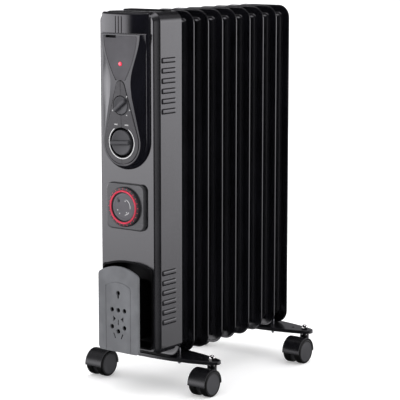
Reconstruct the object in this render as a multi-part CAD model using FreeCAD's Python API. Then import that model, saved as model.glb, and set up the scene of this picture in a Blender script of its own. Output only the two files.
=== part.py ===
import FreeCAD, Part
import math
import os

# Oil filled radiator heater: nine pressed steel fins joined by two rows of hub rings, a steel
# housing with the controls and a cord winder at the front, and two crossbars on four casters.
# +Z is up, the control face looks towards -Y, and X = 0 is the plane of symmetry. The origin is
# on the floor, under the middle of the whole object. All sizes are in millimetres.

V = FreeCAD.Vector

# ------------------------------------------------------------------ driving dimensions
# Fins
fin_count = 9
fin_pitch = 40.0
fin_width = 120.0
fin_height = 583.0
fin_corner = 23.0
rim_width = 12.5
rim_thickness = 2.4
channel_half = 10.0
channel_slope = 3.5
web_half_width = 26.0
web_half_thickness = 3.0
header_height = 68.0
sheet = 0.8
hub_inset = 43.0
hub_radius = 24.0
hub_bore = 18.0
hub_ring_wall = 1.5

# Heating element and filler plug
element_rod = 4.0
element_spread = 8.0
element_end_gap = 15.0
element_flange = 22.0
element_flange_thickness = 3.0
filler_radius = 6.0

# Housing
housing_depth = 64.0
housing_overlap = 5.0
housing_bottom_rise = 16.0
housing_top_gap = 0.2
housing_top_round = 17.0
housing_bottom_round = 10.0
housing_front_round = 6.0
louvre_count = 6
louvre_length = 38.0
louvre_height = 9.5
louvre_pitch = 16.7
louvre_depth = 2.0
louvre_setback = 15.0
upper_louvre_drop = 74.0
lower_louvre_rise = 48.0

# Grip insert in the top
grip_half_width = 44.0
grip_length = 24.0
grip_height = 2.0
grip_rim = 3.5
grip_depth = 10.0
grip_wall = 1.5
grip_back_gap = 2.0
grip_fin_gap = 0.8

# Console
console_half_width = 50.0
console_thickness = 5.0
console_top_gap = 1.0
console_top_round = 6.0
console_edge_round = 4.0
pod_drop = 214.0
pod_radius = 40.0
pod_height = 8.0
pod_neck_radius = 21.0
pod_neck_rise = 88.0
keystone_height = 11.0
keystone_top_drop = 36.0
keystone_top_half = 42.0
keystone_neck_half = 20.5
keystone_neck_drop = 135.0
groove_count = 3
groove_pitch = 6.5
groove_width = 1.8
groove_depth = 1.2
panel_top_half = 35.0
panel_neck_half = 9.0
panel_margin = 3.0
panel_length = 73.0
panel_thickness = 1.2
plate_radius = 36.0
plate_apex_radius = 9.0
plate_apex_rise = 93.0
plate_thickness = 1.5
lamp_drop = 84.5
lamp_radius = 3.5
lamp_proud = 1.2
lamp_depth = 14.0

# Knobs and what they turn
knob_gap = 0.8
floor_thickness = 3.0
knob_lift = 1.2
shaft_radius = 3.0
running_gap = 0.05
power_rise = 61.5
power_knob_radius = 15.5
power_knob_proud = 2.5
power_bar_proud = 4.5
power_bar_width = 6.5
power_bar_angle = 38.0
thermostat_recess_radius = 25.0
thermostat_knob_radius = 21.0
thermostat_knob_proud = 2.0
thermostat_bar_proud = 4.5
thermostat_bar_width = 8.0
power_switch_half = 14.0
power_switch_depth = 24.0
thermostat_body_half = 17.0
thermostat_body_depth = 32.0

# Timer
timer_block_width = 82.0
timer_block_height = 78.0
timer_block_corner = 11.0
timer_block_proud = 6.0
timer_drop_below_console = 23.0
timer_dial_radius = 33.5
timer_dial_back = 1.7
timer_dial_height = 3.2
timer_gap = 0.35
timer_post_radius = 4.0
timer_face_radius = 23.6
timer_face_thickness = 1.6
tappet_count = 96
tappet_inner_radius = 25.4
tappet_outer_radius = 29.2
tappet_width = 1.2
tappet_proud = 1.6
tappet_travel = 1.2
timer_body_half = 28.0
timer_body_depth = 22.0
slider_x = -11.0
slider_rise = 8.0
slider_width = 2.6
slider_length = 3.6
slider_travel = 3.0
slider_proud = 1.2

# Cord bay and winder
bay_side_margin = 10.0
bay_bottom_rise = 11.0
bay_side_height = 128.0
bay_arch = 11.0
bay_depth = 33.0
bay_wall = 1.2
bay_rim = 2.6
bay_rim_proud = 1.2
bay_corner = 6.0
plate_stand_off = 26.0
winder_side_margin = 7.5
winder_bottom_rise = 2.0
winder_side_height = 133.0
winder_arch = 13.0
winder_corner = 8.0
winder_thickness = 3.5
pad_half_width = 27.0
pad_height = 120.0
pad_depth = 1.0
hub_half_width = 22.0
hub_half_height = 50.0
hub_wall = 2.5
hub_rise = 66.0
gland_radius = 7.0
gland_bore = 3.8
gland_length = 7.0
gland_flange = 9.5
gland_flange_thickness = 2.0
gland_hole_gap = 1.0

# Crossbars
crossbar_half_length = 128.5
crossbar_half_width = 33.0
crossbar_tip_radius = 12.5
crossbar_depth = 6.0
crossbar_sheet = 1.5
crossbar_hole_x = 88.0
crossbar_hole_radius = 3.0
bolt_leg_x = 43.0
bolt_rod = 2.5
bolt_end_drop = 10.5
wing_span = 20.0

# Casters
stem_x = 113.0
stem_radius = 3.0
stem_shoulder = 5.5
stem_rise = 8.0
swivel_gap = 4.0
swivel_play = 0.5
nut_radius = 5.8
nut_height = 4.0
trail = 21.0
wheel_radius = 22.0
wheel_inner_x = 5.0
wheel_width = 13.5
wheel_edge_round = 3.0
wheel_hub_radius = 6.0
wheel_rim_wall = 3.5
wheel_face_thickness = 2.2
axle_radius = 2.5
hood_gap = 0.8
hood_wall = 1.7
hood_half_width = 17.5
hood_skirt_drop = 2.0
hood_web_half = 4.5
hood_hub_radius = 7.0
hood_boss_radius = 8.0

# Inner metalwork
shield_thickness = 1.0
shield_gap = 12.0
shield_edge_gap = 4.5
shield_foot = 20.0
stud_radius = 4.0
screw_radius = 2.0
screw_head_radius = 4.0
screw_head_height = 2.4
screw_length = 8.0
screw_x = 35.0
seat_gap = 0.1

# ------------------------------------------------------------------ derived places
hood_radius = wheel_radius + hood_gap + hood_wall
hood_top = wheel_radius + hood_radius + swivel_play
crossbar_bottom = hood_top + swivel_gap
fin_bottom = crossbar_bottom + crossbar_depth
fin_top = fin_bottom + fin_height
hub_low = fin_bottom + hub_inset
hub_high = fin_top - hub_inset

rear_overhang = max(channel_half, crossbar_half_width - fin_pitch / 2)
overall_length = plate_stand_off + housing_depth + fin_pitch * (fin_count - 1) + rear_overhang
plate_front = -overall_length / 2
housing_front = plate_front + plate_stand_off
first_fin = housing_front + housing_depth
housing_back = first_fin + housing_overlap
fin_places = [first_fin + fin_pitch * i for i in range(fin_count)]

housing_half = fin_width / 2 + housing_top_gap + sheet
housing_bottom = fin_bottom + housing_bottom_rise
housing_top = fin_top + housing_top_gap + sheet

console_face = housing_front - console_thickness
console_top = housing_top - console_top_gap
pod_z = housing_top - pod_drop
pod_face = console_face - pod_height
keystone_face = console_face - keystone_height
console_bottom = pod_z + 4.0 - console_half_width
power_z = pod_z + power_rise
recess_floor = housing_front - floor_thickness
knob_back = recess_floor - knob_lift
lamp_z = housing_top - lamp_drop
plate_face = pod_face - plate_thickness / 2

timer_z = console_bottom - timer_drop_below_console - timer_block_height / 2
timer_face_y = housing_front - timer_block_proud

bay_half_width = housing_half - bay_side_margin
winder_half_width = bay_half_width - winder_side_margin
bay_bottom = housing_bottom + bay_bottom_rise
bay_side = bay_bottom + bay_side_height
bay_back = housing_front + bay_depth
winder_bottom = housing_bottom + winder_bottom_rise
winder_side = winder_bottom + winder_side_height
winder_back = plate_front + winder_thickness
hub_z = winder_bottom + hub_rise

shield_back = first_fin - channel_half - shield_gap
shield_front = shield_back - shield_thickness
screw_y = shield_front - shield_foot / 2

control_window = thermostat_body_half + 3
grip_back = housing_back - grip_back_gap
grip_front = grip_back - grip_length
pocket_half = grip_half_width - grip_rim
pocket_front = grip_front + grip_rim
pocket_back = first_fin - rim_thickness / 2 - grip_fin_gap - grip_wall
gland_x = -bay_half_width + gland_flange + 3
gland_y = bay_back + bay_wall + gland_hole_gap + gland_flange
stem_end = wheel_radius + stem_rise

crossbar_places = {
    "front": (fin_places[0] + fin_places[1]) / 2,
    "rear": (fin_places[-2] + fin_places[-1]) / 2,
}
X_AXIS, Y_AXIS, Z_AXIS = V(1, 0, 0), V(0, 1, 0), V(0, 0, 1)

nodes = {}


# ------------------------------------------------------------------ shape helpers
def box(x0, x1, y0, y1, z0, z1):
    return Part.makeBox(x1 - x0, y1 - y0, z1 - z0, V(x0, y0, z0))


def rod_y(x, z, radius, y0, y1):
    return Part.makeCylinder(radius, y1 - y0, V(x, y0, z), Y_AXIS)


def rod_z(x, y, radius, z0, z1):
    return Part.makeCylinder(radius, z1 - z0, V(x, y, z0), Z_AXIS)


def rod_x(y, z, radius, x0, x1):
    return Part.makeCylinder(radius, x1 - x0, V(x0, y, z), X_AXIS)


def wire_through(points, y):
    """Closed polygon in the XZ plane at the given y."""
    corners = [V(x, y, z) for x, z in points]
    return Part.makePolygon(corners + corners[:1])


def prism(wire, length):
    """The wire's face pushed along +Y."""
    return Part.Face(wire).extrude(V(0, length, 0))


def corner_arc(centre_x, centre_z, radius, start, y):
    """Quarter circle in the XZ plane that starts at the given angle and turns left."""
    points = []
    for step in (0, 45, 90):
        angle = math.radians(start + step)
        points.append(V(centre_x + radius * math.cos(angle), y, centre_z + radius * math.sin(angle)))
    return Part.Arc(*points).toShape()


def rounded_wire(half, z0, z1, r_low, r_high, y):
    """Rounded rectangle about X = 0 with one radius low down and another at the top."""
    arcs = [
        corner_arc(half - r_low, z0 + r_low, r_low, 270, y),
        corner_arc(half - r_high, z1 - r_high, r_high, 0, y),
        corner_arc(-half + r_high, z1 - r_high, r_high, 90, y),
        corner_arc(-half + r_low, z0 + r_low, r_low, 180, y),
    ]
    edges = []
    for i, arc in enumerate(arcs):
        edges.append(arc)
        start = arc.Vertexes[-1].Point
        end = arcs[(i + 1) % 4].Vertexes[0].Point
        edges.append(Part.makeLine(start, end))
    return Part.Wire(edges)


def arched_wire(half, z0, z_side, rise, r_low, y):
    """Panel outline with rounded lower corners and an arched top."""
    low_right = corner_arc(half - r_low, z0 + r_low, r_low, 270, y)
    low_left = corner_arc(-half + r_low, z0 + r_low, r_low, 180, y)
    top = Part.Arc(V(half, y, z_side), V(0, y, z_side + rise), V(-half, y, z_side)).toShape()
    return Part.Wire([
        low_right,
        Part.makeLine(V(half, y, z0 + r_low), V(half, y, z_side)),
        top,
        Part.makeLine(V(-half, y, z_side), V(-half, y, z0 + r_low)),
        low_left,
        Part.makeLine(V(-half + r_low, y, z0), V(half - r_low, y, z0)),
    ])


def drop_wire(z_big, r_big, z_small, r_small, y):
    """Teardrop: a large circle low down and a small one above, joined by tangent lines."""
    lean = math.asin((r_big - r_small) / (z_small - z_big))
    side = V(math.cos(lean), 0, math.sin(lean))
    other = V(-math.cos(lean), 0, math.sin(lean))
    low, high = V(0, y, z_big), V(0, y, z_small)
    return Part.Wire([
        Part.Arc(low + other * r_big, V(0, y, z_big - r_big), low + side * r_big).toShape(),
        Part.makeLine(low + side * r_big, high + side * r_small),
        Part.Arc(high + side * r_small, V(0, y, z_small + r_small), high + other * r_small).toShape(),
        Part.makeLine(high + other * r_small, low + other * r_big),
    ])


def round_where(shape, radius, test):
    """Fillet every edge whose box passes the test."""
    return shape.makeFillet(radius, [edge for edge in shape.Edges if test(edge.BoundBox)])


def lies_at_y(y):
    return lambda b: abs(b.YMin - y) < 0.01 and abs(b.YMax - y) < 0.01


def turned(points):
    """Solid of revolution about X from (x, radius) points."""
    outline = [V(x, 0, r) for x, r in points]
    face = Part.Face(Part.makePolygon(outline + outline[:1]))
    return face.revolve(V(0, 0, 0), X_AXIS, 360)


def moved(shape, x, y, z):
    copy = shape.copy()
    copy.translate(V(x, y, z))
    return copy


# ------------------------------------------------------------------ radiator
def fin_wire(inset, y):
    radius = fin_corner - inset
    return rounded_wire(fin_width / 2 - inset, fin_bottom + inset, fin_top - inset, radius, radius, y)


def web_wire(grow, y):
    low, high = fin_bottom + rim_width + header_height, fin_top - rim_width - header_height
    radius = web_half_width / 2
    return rounded_wire(web_half_width + grow, low - grow, high + grow, radius, radius, y)


def channel_side(margin):
    """The +Y half of the pressed channel, shrunk by a wall margin."""
    crest = channel_half - margin
    floor = web_half_thickness - margin
    block = Part.makeLoft([
        fin_wire(rim_width + margin, 0),
        fin_wire(rim_width + channel_slope + margin, crest),
    ], True, True)
    pocket = Part.makeLoft([
        web_wire(margin - channel_slope, floor),
        web_wire(margin + channel_slope, crest + channel_half - web_half_thickness),
    ], True, True)
    return block.cut(pocket)


def both_sides(shape):
    return shape.fuse(shape.mirror(V(0, 0, 0), Y_AXIS))


def fin_blank():
    rim = prism(fin_wire(0, -rim_thickness / 2), rim_thickness)
    skin = rim.fuse(both_sides(channel_side(0)))
    return skin.cut(both_sides(channel_side(sheet)))


def make_fins():
    blank = fin_blank()
    through = channel_half + 1
    last = fin_count - 1
    for i, place in enumerate(fin_places):
        front_high = filler_radius if i == 0 else hub_bore
        holes = [rod_y(0, hub_low, hub_bore, -through, 0), rod_y(0, hub_high, front_high, -through, 0)]
        if i < last:
            holes += [rod_y(0, z, hub_bore, 0, through) for z in (hub_low, hub_high)]
        nodes[f"fin_{i + 1}"] = moved(blank.cut(holes), 0, place, 0)


def make_hub_rings():
    rings = []
    for place in fin_places[:-1]:
        start, end = place + channel_half, place + fin_pitch - channel_half
        for z in (hub_low, hub_high):
            ring = rod_y(0, z, hub_radius, start, end)
            rings.append(ring.cut(rod_y(0, z, hub_radius - hub_ring_wall, start, end)))
    nodes["hub_rings"] = Part.makeCompound(rings)


def make_oil_parts():
    face = first_fin - channel_half
    plug = rod_y(0, hub_high, filler_radius - seat_gap, face, face + 4)
    head = rod_y(0, hub_high, filler_radius + 4, face - 5, face)
    nodes["oil_filler_plug"] = plug.fuse(head)

    bend = fin_places[-1] - element_end_gap
    flange = rod_y(0, hub_low, element_flange, face - element_flange_thickness, face)
    pieces = []
    for side in (-1, 1):
        z = hub_low + side * element_spread
        pieces.append(rod_y(0, z, element_rod, face - element_flange_thickness, bend))
        pieces.append(rod_y(0, z, element_rod / 2, face - 9, face))
    bow = Part.makeTorus(element_spread, element_rod, V(0, bend, hub_low), X_AXIS)
    pieces.append(bow.common(box(-20, 20, bend, bend + 20, hub_low - 20, hub_low + 20)))
    nodes["heating_element"] = flange.fuse(pieces)


# ------------------------------------------------------------------ housing
def housing_block(margin, back):
    """Outer form of the housing, shrunk by a wall margin."""
    front = housing_front + margin
    wire = rounded_wire(housing_half - margin, housing_bottom + margin, housing_top - margin,
                        housing_bottom_round - margin, housing_top_round - margin, front)
    block = prism(wire, back - front)
    return round_where(block, housing_front_round - margin, lies_at_y(front))


def louvre_profiles(top):
    """The slot in the +X wall, and the blade that hangs from its top edge and leans outwards."""
    low = top - louvre_height
    skin, lip = housing_half, housing_half + louvre_depth
    slot = [(skin - 2 * sheet, top), (skin + 1, top), (skin + 1, low), (skin - 2 * sheet, low)]
    blade = [(skin - sheet, top), (skin, top), (lip, low), (lip - sheet, low)]
    return slot, blade


def louvre_tops():
    upper = housing_top - upper_louvre_drop
    lower = housing_bottom + lower_louvre_rise + louvre_height + louvre_pitch * (louvre_count - 1)
    for start in (upper, lower):
        for i in range(louvre_count):
            yield start - louvre_pitch * i


def pocket_box(grow, z0, z1):
    """The finger pocket's plan, grown by a wall or a gap."""
    return box(-pocket_half - grow, pocket_half + grow, pocket_front - grow, pocket_back + grow, z0, z1)


def make_housing():
    shell = housing_block(0, housing_back).cut(housing_block(sheet, housing_back + 1))
    start = housing_front + louvre_setback
    slots, blades = [], []
    for top in louvre_tops():
        for shapes, outline in zip((slots, blades), louvre_profiles(top)):
            for side in (-1, 1):
                wire = wire_through([(side * x, z) for x, z in outline], start)
                shapes.append(prism(wire, louvre_length))
    wall0, wall1 = housing_front - 1, housing_front + sheet + 1
    cuts = [
        prism(arched_wire(bay_half_width + bay_wall + seat_gap, bay_bottom - bay_wall - seat_gap,
                          bay_side + bay_wall + seat_gap, bay_arch, bay_corner, wall0), wall1 - wall0),
        box(-control_window, control_window, wall0, wall1,
            pod_z - thermostat_body_half - 3, power_z + power_switch_half + 3),
        rod_y(0, lamp_z, lamp_radius + 2, wall0, wall1),
        box(-timer_body_half - 1, timer_body_half + 1, wall0, wall1,
            timer_z - timer_body_half - 1, timer_z + timer_body_half + 1),
        box(-housing_half + sheet, housing_half - sheet, first_fin - channel_half - 2, housing_back + 1,
            housing_bottom - 1, housing_bottom + housing_bottom_round),
        pocket_box(grip_wall + seat_gap, housing_top - 3, housing_top + 1),
        rod_z(gland_x, gland_y, gland_radius + seat_gap, housing_bottom - 1, housing_bottom + 3),
    ]
    for side in (-1, 1):
        cuts.append(rod_z(side * screw_x, screw_y, screw_radius + seat_gap, housing_bottom - 1, housing_bottom + 3))
    nodes["shroud"] = shell.cut(slots + cuts).fuse(blades)


def make_inner_metalwork():
    half = housing_half - sheet - shield_edge_gap
    low = housing_bottom + sheet
    plate = box(-half, half, shield_front, shield_back, low, housing_top - housing_top_round)
    foot = box(-half + housing_bottom_round, half - housing_bottom_round, shield_front - shield_foot, shield_back,
               low, low + shield_thickness)
    corners = []
    for side in (-1, 1):
        x = side * (half - housing_bottom_round / 2)
        corners.append(box(x - housing_bottom_round / 2, x + housing_bottom_round / 2, shield_front - 1,
                           shield_back + 1, low - 1, low + housing_bottom_round))
    studs = [rod_y(side * (web_half_width + channel_slope + 8), z, stud_radius, shield_back,
                   first_fin - channel_half)
             for side in (-1, 1) for z in (hub_low + 2 * hub_radius, hub_high - 2 * hub_radius)]
    holes = [rod_y(0, hub_low, element_flange + 2, shield_front - 1, shield_back + 1),
             rod_z(gland_x, gland_y, gland_radius + gland_hole_gap, low - 1,
                   housing_bottom + gland_length + gland_hole_gap)]
    for side in (-1, 1):
        holes.append(rod_z(side * screw_x, screw_y, screw_radius + seat_gap, low - 1, low + 3))
    nodes["heat_shield"] = plate.cut(corners).fuse([foot] + studs).cut(holes)

    middle = (bay_side + bay_arch + timer_z - timer_body_half) / 2
    block = box(-20, 20, shield_front - 16, shield_front, middle - 9, middle + 9)
    terminals = [rod_y(x, middle, 2.2, shield_front - 17, shield_front - 6) for x in (-12, 0, 12)]
    nodes["terminal_block"] = block.cut(terminals)
    cutout_z = (timer_z + timer_body_half + pod_z - thermostat_body_half) / 2
    nodes["thermal_cutout"] = rod_y(0, cutout_z, 8, shield_front - 6, shield_front).fuse(
        [box(x - 1, x + 1, shield_front - 12, shield_front - 6, cutout_z - 3, cutout_z + 3) for x in (-4, 4)])

    screws = []
    for side in (-1, 1):
        shaft = rod_z(side * screw_x, screw_y, screw_radius, housing_bottom, housing_bottom + screw_length)
        head = rod_z(side * screw_x, screw_y, screw_head_radius, housing_bottom - screw_head_height,
                     housing_bottom)
        slot = box(side * screw_x - 3, side * screw_x + 3, screw_y - 0.5, screw_y + 0.5,
                   housing_bottom - screw_head_height, housing_bottom - screw_head_height / 2)
        screws.append(shaft.fuse(head).cut(slot))
    nodes["case_screws"] = Part.makeCompound(screws)


def flat_wire(x0, x1, y0, y1, radius, z):
    """Rounded rectangle lying flat at the given height."""
    points = [(x1 - radius, y0 + radius, 270), (x1 - radius, y1 - radius, 0),
              (x0 + radius, y1 - radius, 90), (x0 + radius, y0 + radius, 180)]
    arcs = []
    for x, y, start in points:
        spots = [math.radians(start + step) for step in (0, 45, 90)]
        arcs.append(Part.Arc(*[V(x + radius * math.cos(a), y + radius * math.sin(a), z) for a in spots]).toShape())
    edges = []
    for i, arc in enumerate(arcs):
        edges += [arc, Part.makeLine(arc.Vertexes[-1].Point, arcs[(i + 1) % 4].Vertexes[0].Point)]
    return Part.Wire(edges)


def make_grip():
    rim = Part.Face(flat_wire(-grip_half_width, grip_half_width, grip_front, grip_back, 5, housing_top))
    rim = rim.extrude(V(0, 0, grip_height))
    rim = round_where(rim, grip_height / 2, lambda b: b.ZMin > housing_top + grip_height - 0.01)
    low = housing_top + grip_height - grip_depth
    cup = pocket_box(grip_wall, low - grip_wall, housing_top)
    nodes["grip_insert"] = rim.fuse(cup).cut(pocket_box(0, low, housing_top + grip_height + 1))


# ------------------------------------------------------------------ console
def make_console():
    centre = pod_z + 4.0
    y = console_face
    sides = console_half_width
    top_right = corner_arc(sides - console_top_round, console_top - console_top_round, console_top_round, 0, y)
    top_left = corner_arc(-sides + console_top_round, console_top - console_top_round, console_top_round, 90, y)
    low = Part.Arc(V(-sides, y, centre), V(0, y, centre - sides), V(sides, y, centre)).toShape()
    outline = Part.Wire([
        low,
        Part.makeLine(V(sides, y, centre), V(sides, y, console_top - console_top_round)),
        top_right,
        Part.makeLine(V(sides - console_top_round, y, console_top), V(-sides + console_top_round, y, console_top)),
        top_left,
        Part.makeLine(V(-sides, y, console_top - console_top_round), V(-sides, y, centre)),
    ])
    base = round_where(prism(outline, console_thickness), console_edge_round, lies_at_y(y))

    top_z, neck_z = housing_top - keystone_top_drop, housing_top - keystone_neck_drop
    keystone = prism(wire_through([(-keystone_neck_half, neck_z), (keystone_neck_half, neck_z),
                                   (keystone_top_half, top_z), (-keystone_top_half, top_z)],
                                  keystone_face), keystone_height + console_thickness)
    pod = prism(drop_wire(pod_z, pod_radius, pod_z + pod_neck_rise, pod_neck_radius, pod_face),
                pod_height + console_thickness)
    body = base.fuse([keystone, pod])

    knob_hole = power_knob_radius + knob_gap
    cuts = [
        prism(panel_wire(seat_gap, keystone_face - 1), panel_thickness + 1),
        prism(drop_wire(pod_z, plate_radius + seat_gap, pod_z + plate_apex_rise, plate_apex_radius + seat_gap,
                        keystone_face - 1), plate_face + plate_thickness - keystone_face + 1),
        rod_y(0, power_z, knob_hole, keystone_face - 1, recess_floor),
        rod_y(0, pod_z, thermostat_recess_radius, keystone_face - 1, recess_floor),
        rod_y(0, lamp_z, lamp_radius + seat_gap, keystone_face - 1, housing_front + 1),
    ]
    for z in (power_z, pod_z):
        cuts.append(rod_y(0, z, shaft_radius + knob_gap, recess_floor - 1, housing_front + 1))
    for i in range(groove_count):
        x = -groove_pitch * i
        cuts.append(box(x - groove_width / 2, x + groove_width / 2, console_face - 1,
                        console_face + groove_depth, top_z + 1, console_top - console_top_round))
    nodes["console"] = body.cut(cuts)


def panel_wire(grow, y):
    top = housing_top - keystone_top_drop - panel_margin
    low = top - panel_length
    return wire_through([(-panel_neck_half - grow, low - grow), (panel_neck_half + grow, low - grow),
                         (panel_top_half + grow, top + grow), (-panel_top_half - grow, top + grow)], y)


def make_console_trim():
    plate = prism(drop_wire(pod_z, plate_radius, pod_z + plate_apex_rise, plate_apex_radius, plate_face),
                  plate_thickness)
    far = plate_face - 10
    cuts = [rod_y(0, power_z, power_knob_radius + knob_gap, far, housing_front),
            rod_y(0, pod_z, thermostat_recess_radius, far, housing_front)]
    nodes["scale_plate"] = plate.cut(cuts)

    panel = prism(panel_wire(0, keystone_face), panel_thickness)
    drop = prism(drop_wire(pod_z, plate_radius + seat_gap, pod_z + plate_apex_rise,
                           plate_apex_radius + seat_gap, keystone_face - 1), keystone_height)
    lamp_hole = rod_y(0, lamp_z, lamp_radius + seat_gap, keystone_face - 1, housing_front)
    nodes["control_panel"] = panel.cut([drop, lamp_hole])

    tip = keystone_face - lamp_proud
    lens = rod_y(0, lamp_z, lamp_radius, tip, keystone_face + lamp_depth)
    nodes["lamp_lens"] = round_where(lens, lamp_proud, lies_at_y(tip))


def knob(z, radius, face, bar_proud, bar_width, bar_angle):
    """Round knob with a grip bar across it and a blind hole for its shaft."""
    disc = round_where(rod_y(0, z, radius, face, knob_back), 1.5, lies_at_y(face))
    reach = math.sqrt(radius ** 2 - (bar_width / 2) ** 2) - 1
    bar = box(-reach, reach, face - bar_proud, knob_back - 2, z - bar_width / 2, z + bar_width / 2)
    bar = round_where(bar, bar_width / 4, lambda b: abs(b.YMin - face + bar_proud) < 0.01 and b.XLength > reach)
    bar.rotate(V(0, 0, z), Y_AXIS, -bar_angle)
    return disc.fuse(bar).cut(rod_y(0, z, shaft_radius + seat_gap / 2, face + 2, knob_back + 1))


def switch_body(z, half, depth):
    body = box(-half, half, housing_front, housing_front + depth, z - half, z + half)
    return body.cut(rod_y(0, z, shaft_radius + running_gap, housing_front - 1, housing_front + depth - 4))


def make_knobs():
    power_face = plate_face - power_knob_proud
    nodes["power_knob"] = knob(power_z, power_knob_radius, power_face, power_bar_proud, power_bar_width,
                               power_bar_angle)
    nodes["power_switch_shaft"] = rod_y(0, power_z, shaft_radius, power_face + 3,
                                        housing_front + power_switch_depth - 5)
    nodes["power_switch"] = switch_body(power_z, power_switch_half, power_switch_depth)

    thermostat_face = plate_face - thermostat_knob_proud
    nodes["thermostat_knob"] = knob(pod_z, thermostat_knob_radius, thermostat_face, thermostat_bar_proud,
                                    thermostat_bar_width, 0)
    nodes["thermostat_shaft"] = rod_y(0, pod_z, shaft_radius, thermostat_face + 3,
                                      housing_front + thermostat_body_depth - 5)
    nodes["thermostat_body"] = switch_body(pod_z, thermostat_body_half, thermostat_body_depth)


# ------------------------------------------------------------------ timer
def ring_y(z, outer, inner, y0, y1):
    return rod_y(0, z, outer, y0, y1).cut(rod_y(0, z, inner, y0 - 1, y1 + 1))


def make_timer():
    half_height = timer_block_height / 2
    wire = rounded_wire(timer_block_width / 2, timer_z - half_height, timer_z + half_height,
                        timer_block_corner, timer_block_corner, timer_face_y)
    block = round_where(prism(wire, timer_block_proud), 2, lies_at_y(timer_face_y))
    nodes["timer_block"] = block

    body = box(-timer_body_half, timer_body_half, housing_front, housing_front + timer_body_depth,
               timer_z - timer_body_half, timer_z + timer_body_half)
    nodes["timer_body"] = body

    back = timer_face_y - timer_gap
    web = back - timer_dial_back
    front = web - timer_dial_height
    disc = rod_y(0, timer_z, timer_dial_radius, front, back)
    disc = round_where(disc, 1.2, lies_at_y(front))
    well = rod_y(0, timer_z, timer_face_radius + 0.5, front - 1, web)
    groove = ring_y(timer_z, tappet_outer_radius + seat_gap, tappet_inner_radius - seat_gap, front - 1, web)
    bore = rod_y(0, timer_z, timer_post_radius + running_gap, front - 1, back + 1)
    nodes["timer_dial"] = disc.cut([well, groove, bore])

    tappets = []
    floor = web - tappet_travel - 0.3
    for i in range(tappet_count):
        tappet = box(tappet_inner_radius, tappet_outer_radius - 0.1, front - tappet_proud, floor,
                     timer_z - tappet_width / 2, timer_z + tappet_width / 2)
        tappet.rotate(V(0, 0, timer_z), Y_AXIS, 360.0 * i / tappet_count)
        tappets.append(tappet)
    nodes["timer_tappets"] = Part.makeCompound(tappets)

    face_back = web - timer_gap
    face_front = face_back - timer_face_thickness
    face = rod_y(0, timer_z, timer_face_radius, face_front, face_back)
    post = rod_y(0, timer_z, timer_post_radius, face_back, timer_face_y)
    slot_half = (slider_length + slider_travel) / 2 + 0.3
    slot_z = timer_z + slider_rise
    slot = box(slider_x - slider_width / 2 - 0.3, slider_x + slider_width / 2 + 0.3, face_front - 1, face_back + 1,
               slot_z - slot_half, slot_z + slot_half)
    nodes["timer_face"] = face.fuse(post).cut(slot)
    low = slot_z + slider_travel / 2 - slider_length / 2
    nodes["timer_mode_slider"] = box(slider_x - slider_width / 2, slider_x + slider_width / 2,
                                     face_front - slider_proud, face_back, low, low + slider_length)


# ------------------------------------------------------------------ cord bay and winder
def bay_wire(grow, y):
    return arched_wire(bay_half_width + grow, bay_bottom - grow, bay_side + grow, bay_arch, bay_corner, y)


def make_bay():
    deep = bay_back + bay_wall - housing_front
    walls = prism(bay_wire(bay_wall, housing_front), deep)
    rim = prism(bay_wire(bay_wall + bay_rim, housing_front - bay_rim_proud), bay_rim_proud)
    inside = prism(bay_wire(0, housing_front - bay_rim_proud - 1), bay_depth + bay_rim_proud + 1)
    nodes["bay_liner"] = walls.fuse(rim).cut(inside)


def make_gland():
    """Bush for the mains cord, in the floor of the housing behind the bay."""
    low, high = housing_bottom - gland_flange_thickness, housing_bottom + gland_length
    barrel = rod_z(gland_x, gland_y, gland_radius, low, high)
    flange = rod_z(gland_x, gland_y, gland_flange, low, housing_bottom)
    nodes["cord_gland"] = barrel.fuse(flange).cut(rod_z(gland_x, gland_y, gland_bore, low - 1, high + 1))


def post_block(shrink, y0, y1):
    radius = hub_half_width - shrink
    wire = rounded_wire(radius, hub_z - hub_half_height + shrink, hub_z + hub_half_height - shrink,
                        radius / 2, radius / 2, y0)
    return prism(wire, y1 - y0)


def plate_holes():
    """Parking holes for the plug pins: a keyhole, rounds, wedges and slots."""
    y0, y1 = plate_front - 1, winder_back + 1
    depth = y1 - y0
    holes = [rod_y(0, hub_z + 35, 4, y0, y1),
             box(-1.9, 1.9, y0, y1, hub_z + 26, hub_z + 35)]
    holes += [rod_y(x, hub_z + 6, 4, y0, y1) for x in (-13.3, 0, 13.3)]
    holes += [rod_y(x, hub_z - 23, 4, y0, y1) for x in (-13.3, 13.3)]
    holes.append(rod_y(0, hub_z - 30, 4, y0, y1))
    holes.append(box(-1, 1, y0, y1, hub_z - 19, hub_z - 10))
    for side in (-1, 1):
        wedge = [(side * 5.5, hub_z - 9), (side * 11, hub_z - 14), (side * 11, hub_z - 4)]
        holes.append(prism(wire_through(wedge, y0), depth))
        slot = box(-1.1, 1.1, y0, y1, -4.5, 4.5)
        slot.rotate(V(0, 0, 0), Y_AXIS, side * 25)
        holes.append(moved(slot, side * 8, 0, hub_z - 38))
    return holes


def make_winder():
    wire = arched_wire(winder_half_width, winder_bottom, winder_side, winder_arch, winder_corner, plate_front)
    plate = prism(wire, winder_thickness)
    plate = round_where(plate, winder_corner, lambda b: b.YLength > winder_thickness - 0.1
                        and abs(b.ZMax - winder_side) < 0.01)
    plate = round_where(plate, 1.2, lies_at_y(plate_front))
    groove = prism(arched_wire(pad_half_width, winder_bottom - 10, winder_bottom + pad_height - 8, 8, 5,
                               plate_front - 1), 1 + pad_depth / 2)
    inner = prism(arched_wire(pad_half_width - 1.2, winder_bottom - 12, winder_bottom + pad_height - 9.2, 8, 5,
                              plate_front - 2), 4 + pad_depth)
    nodes["winder_plate"] = plate.cut([groove.cut(inner)] + plate_holes())

    post = post_block(0, winder_back, bay_back)
    nodes["winder_hub"] = post.cut(post_block(hub_wall, winder_back - 1, bay_back - hub_wall))


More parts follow.
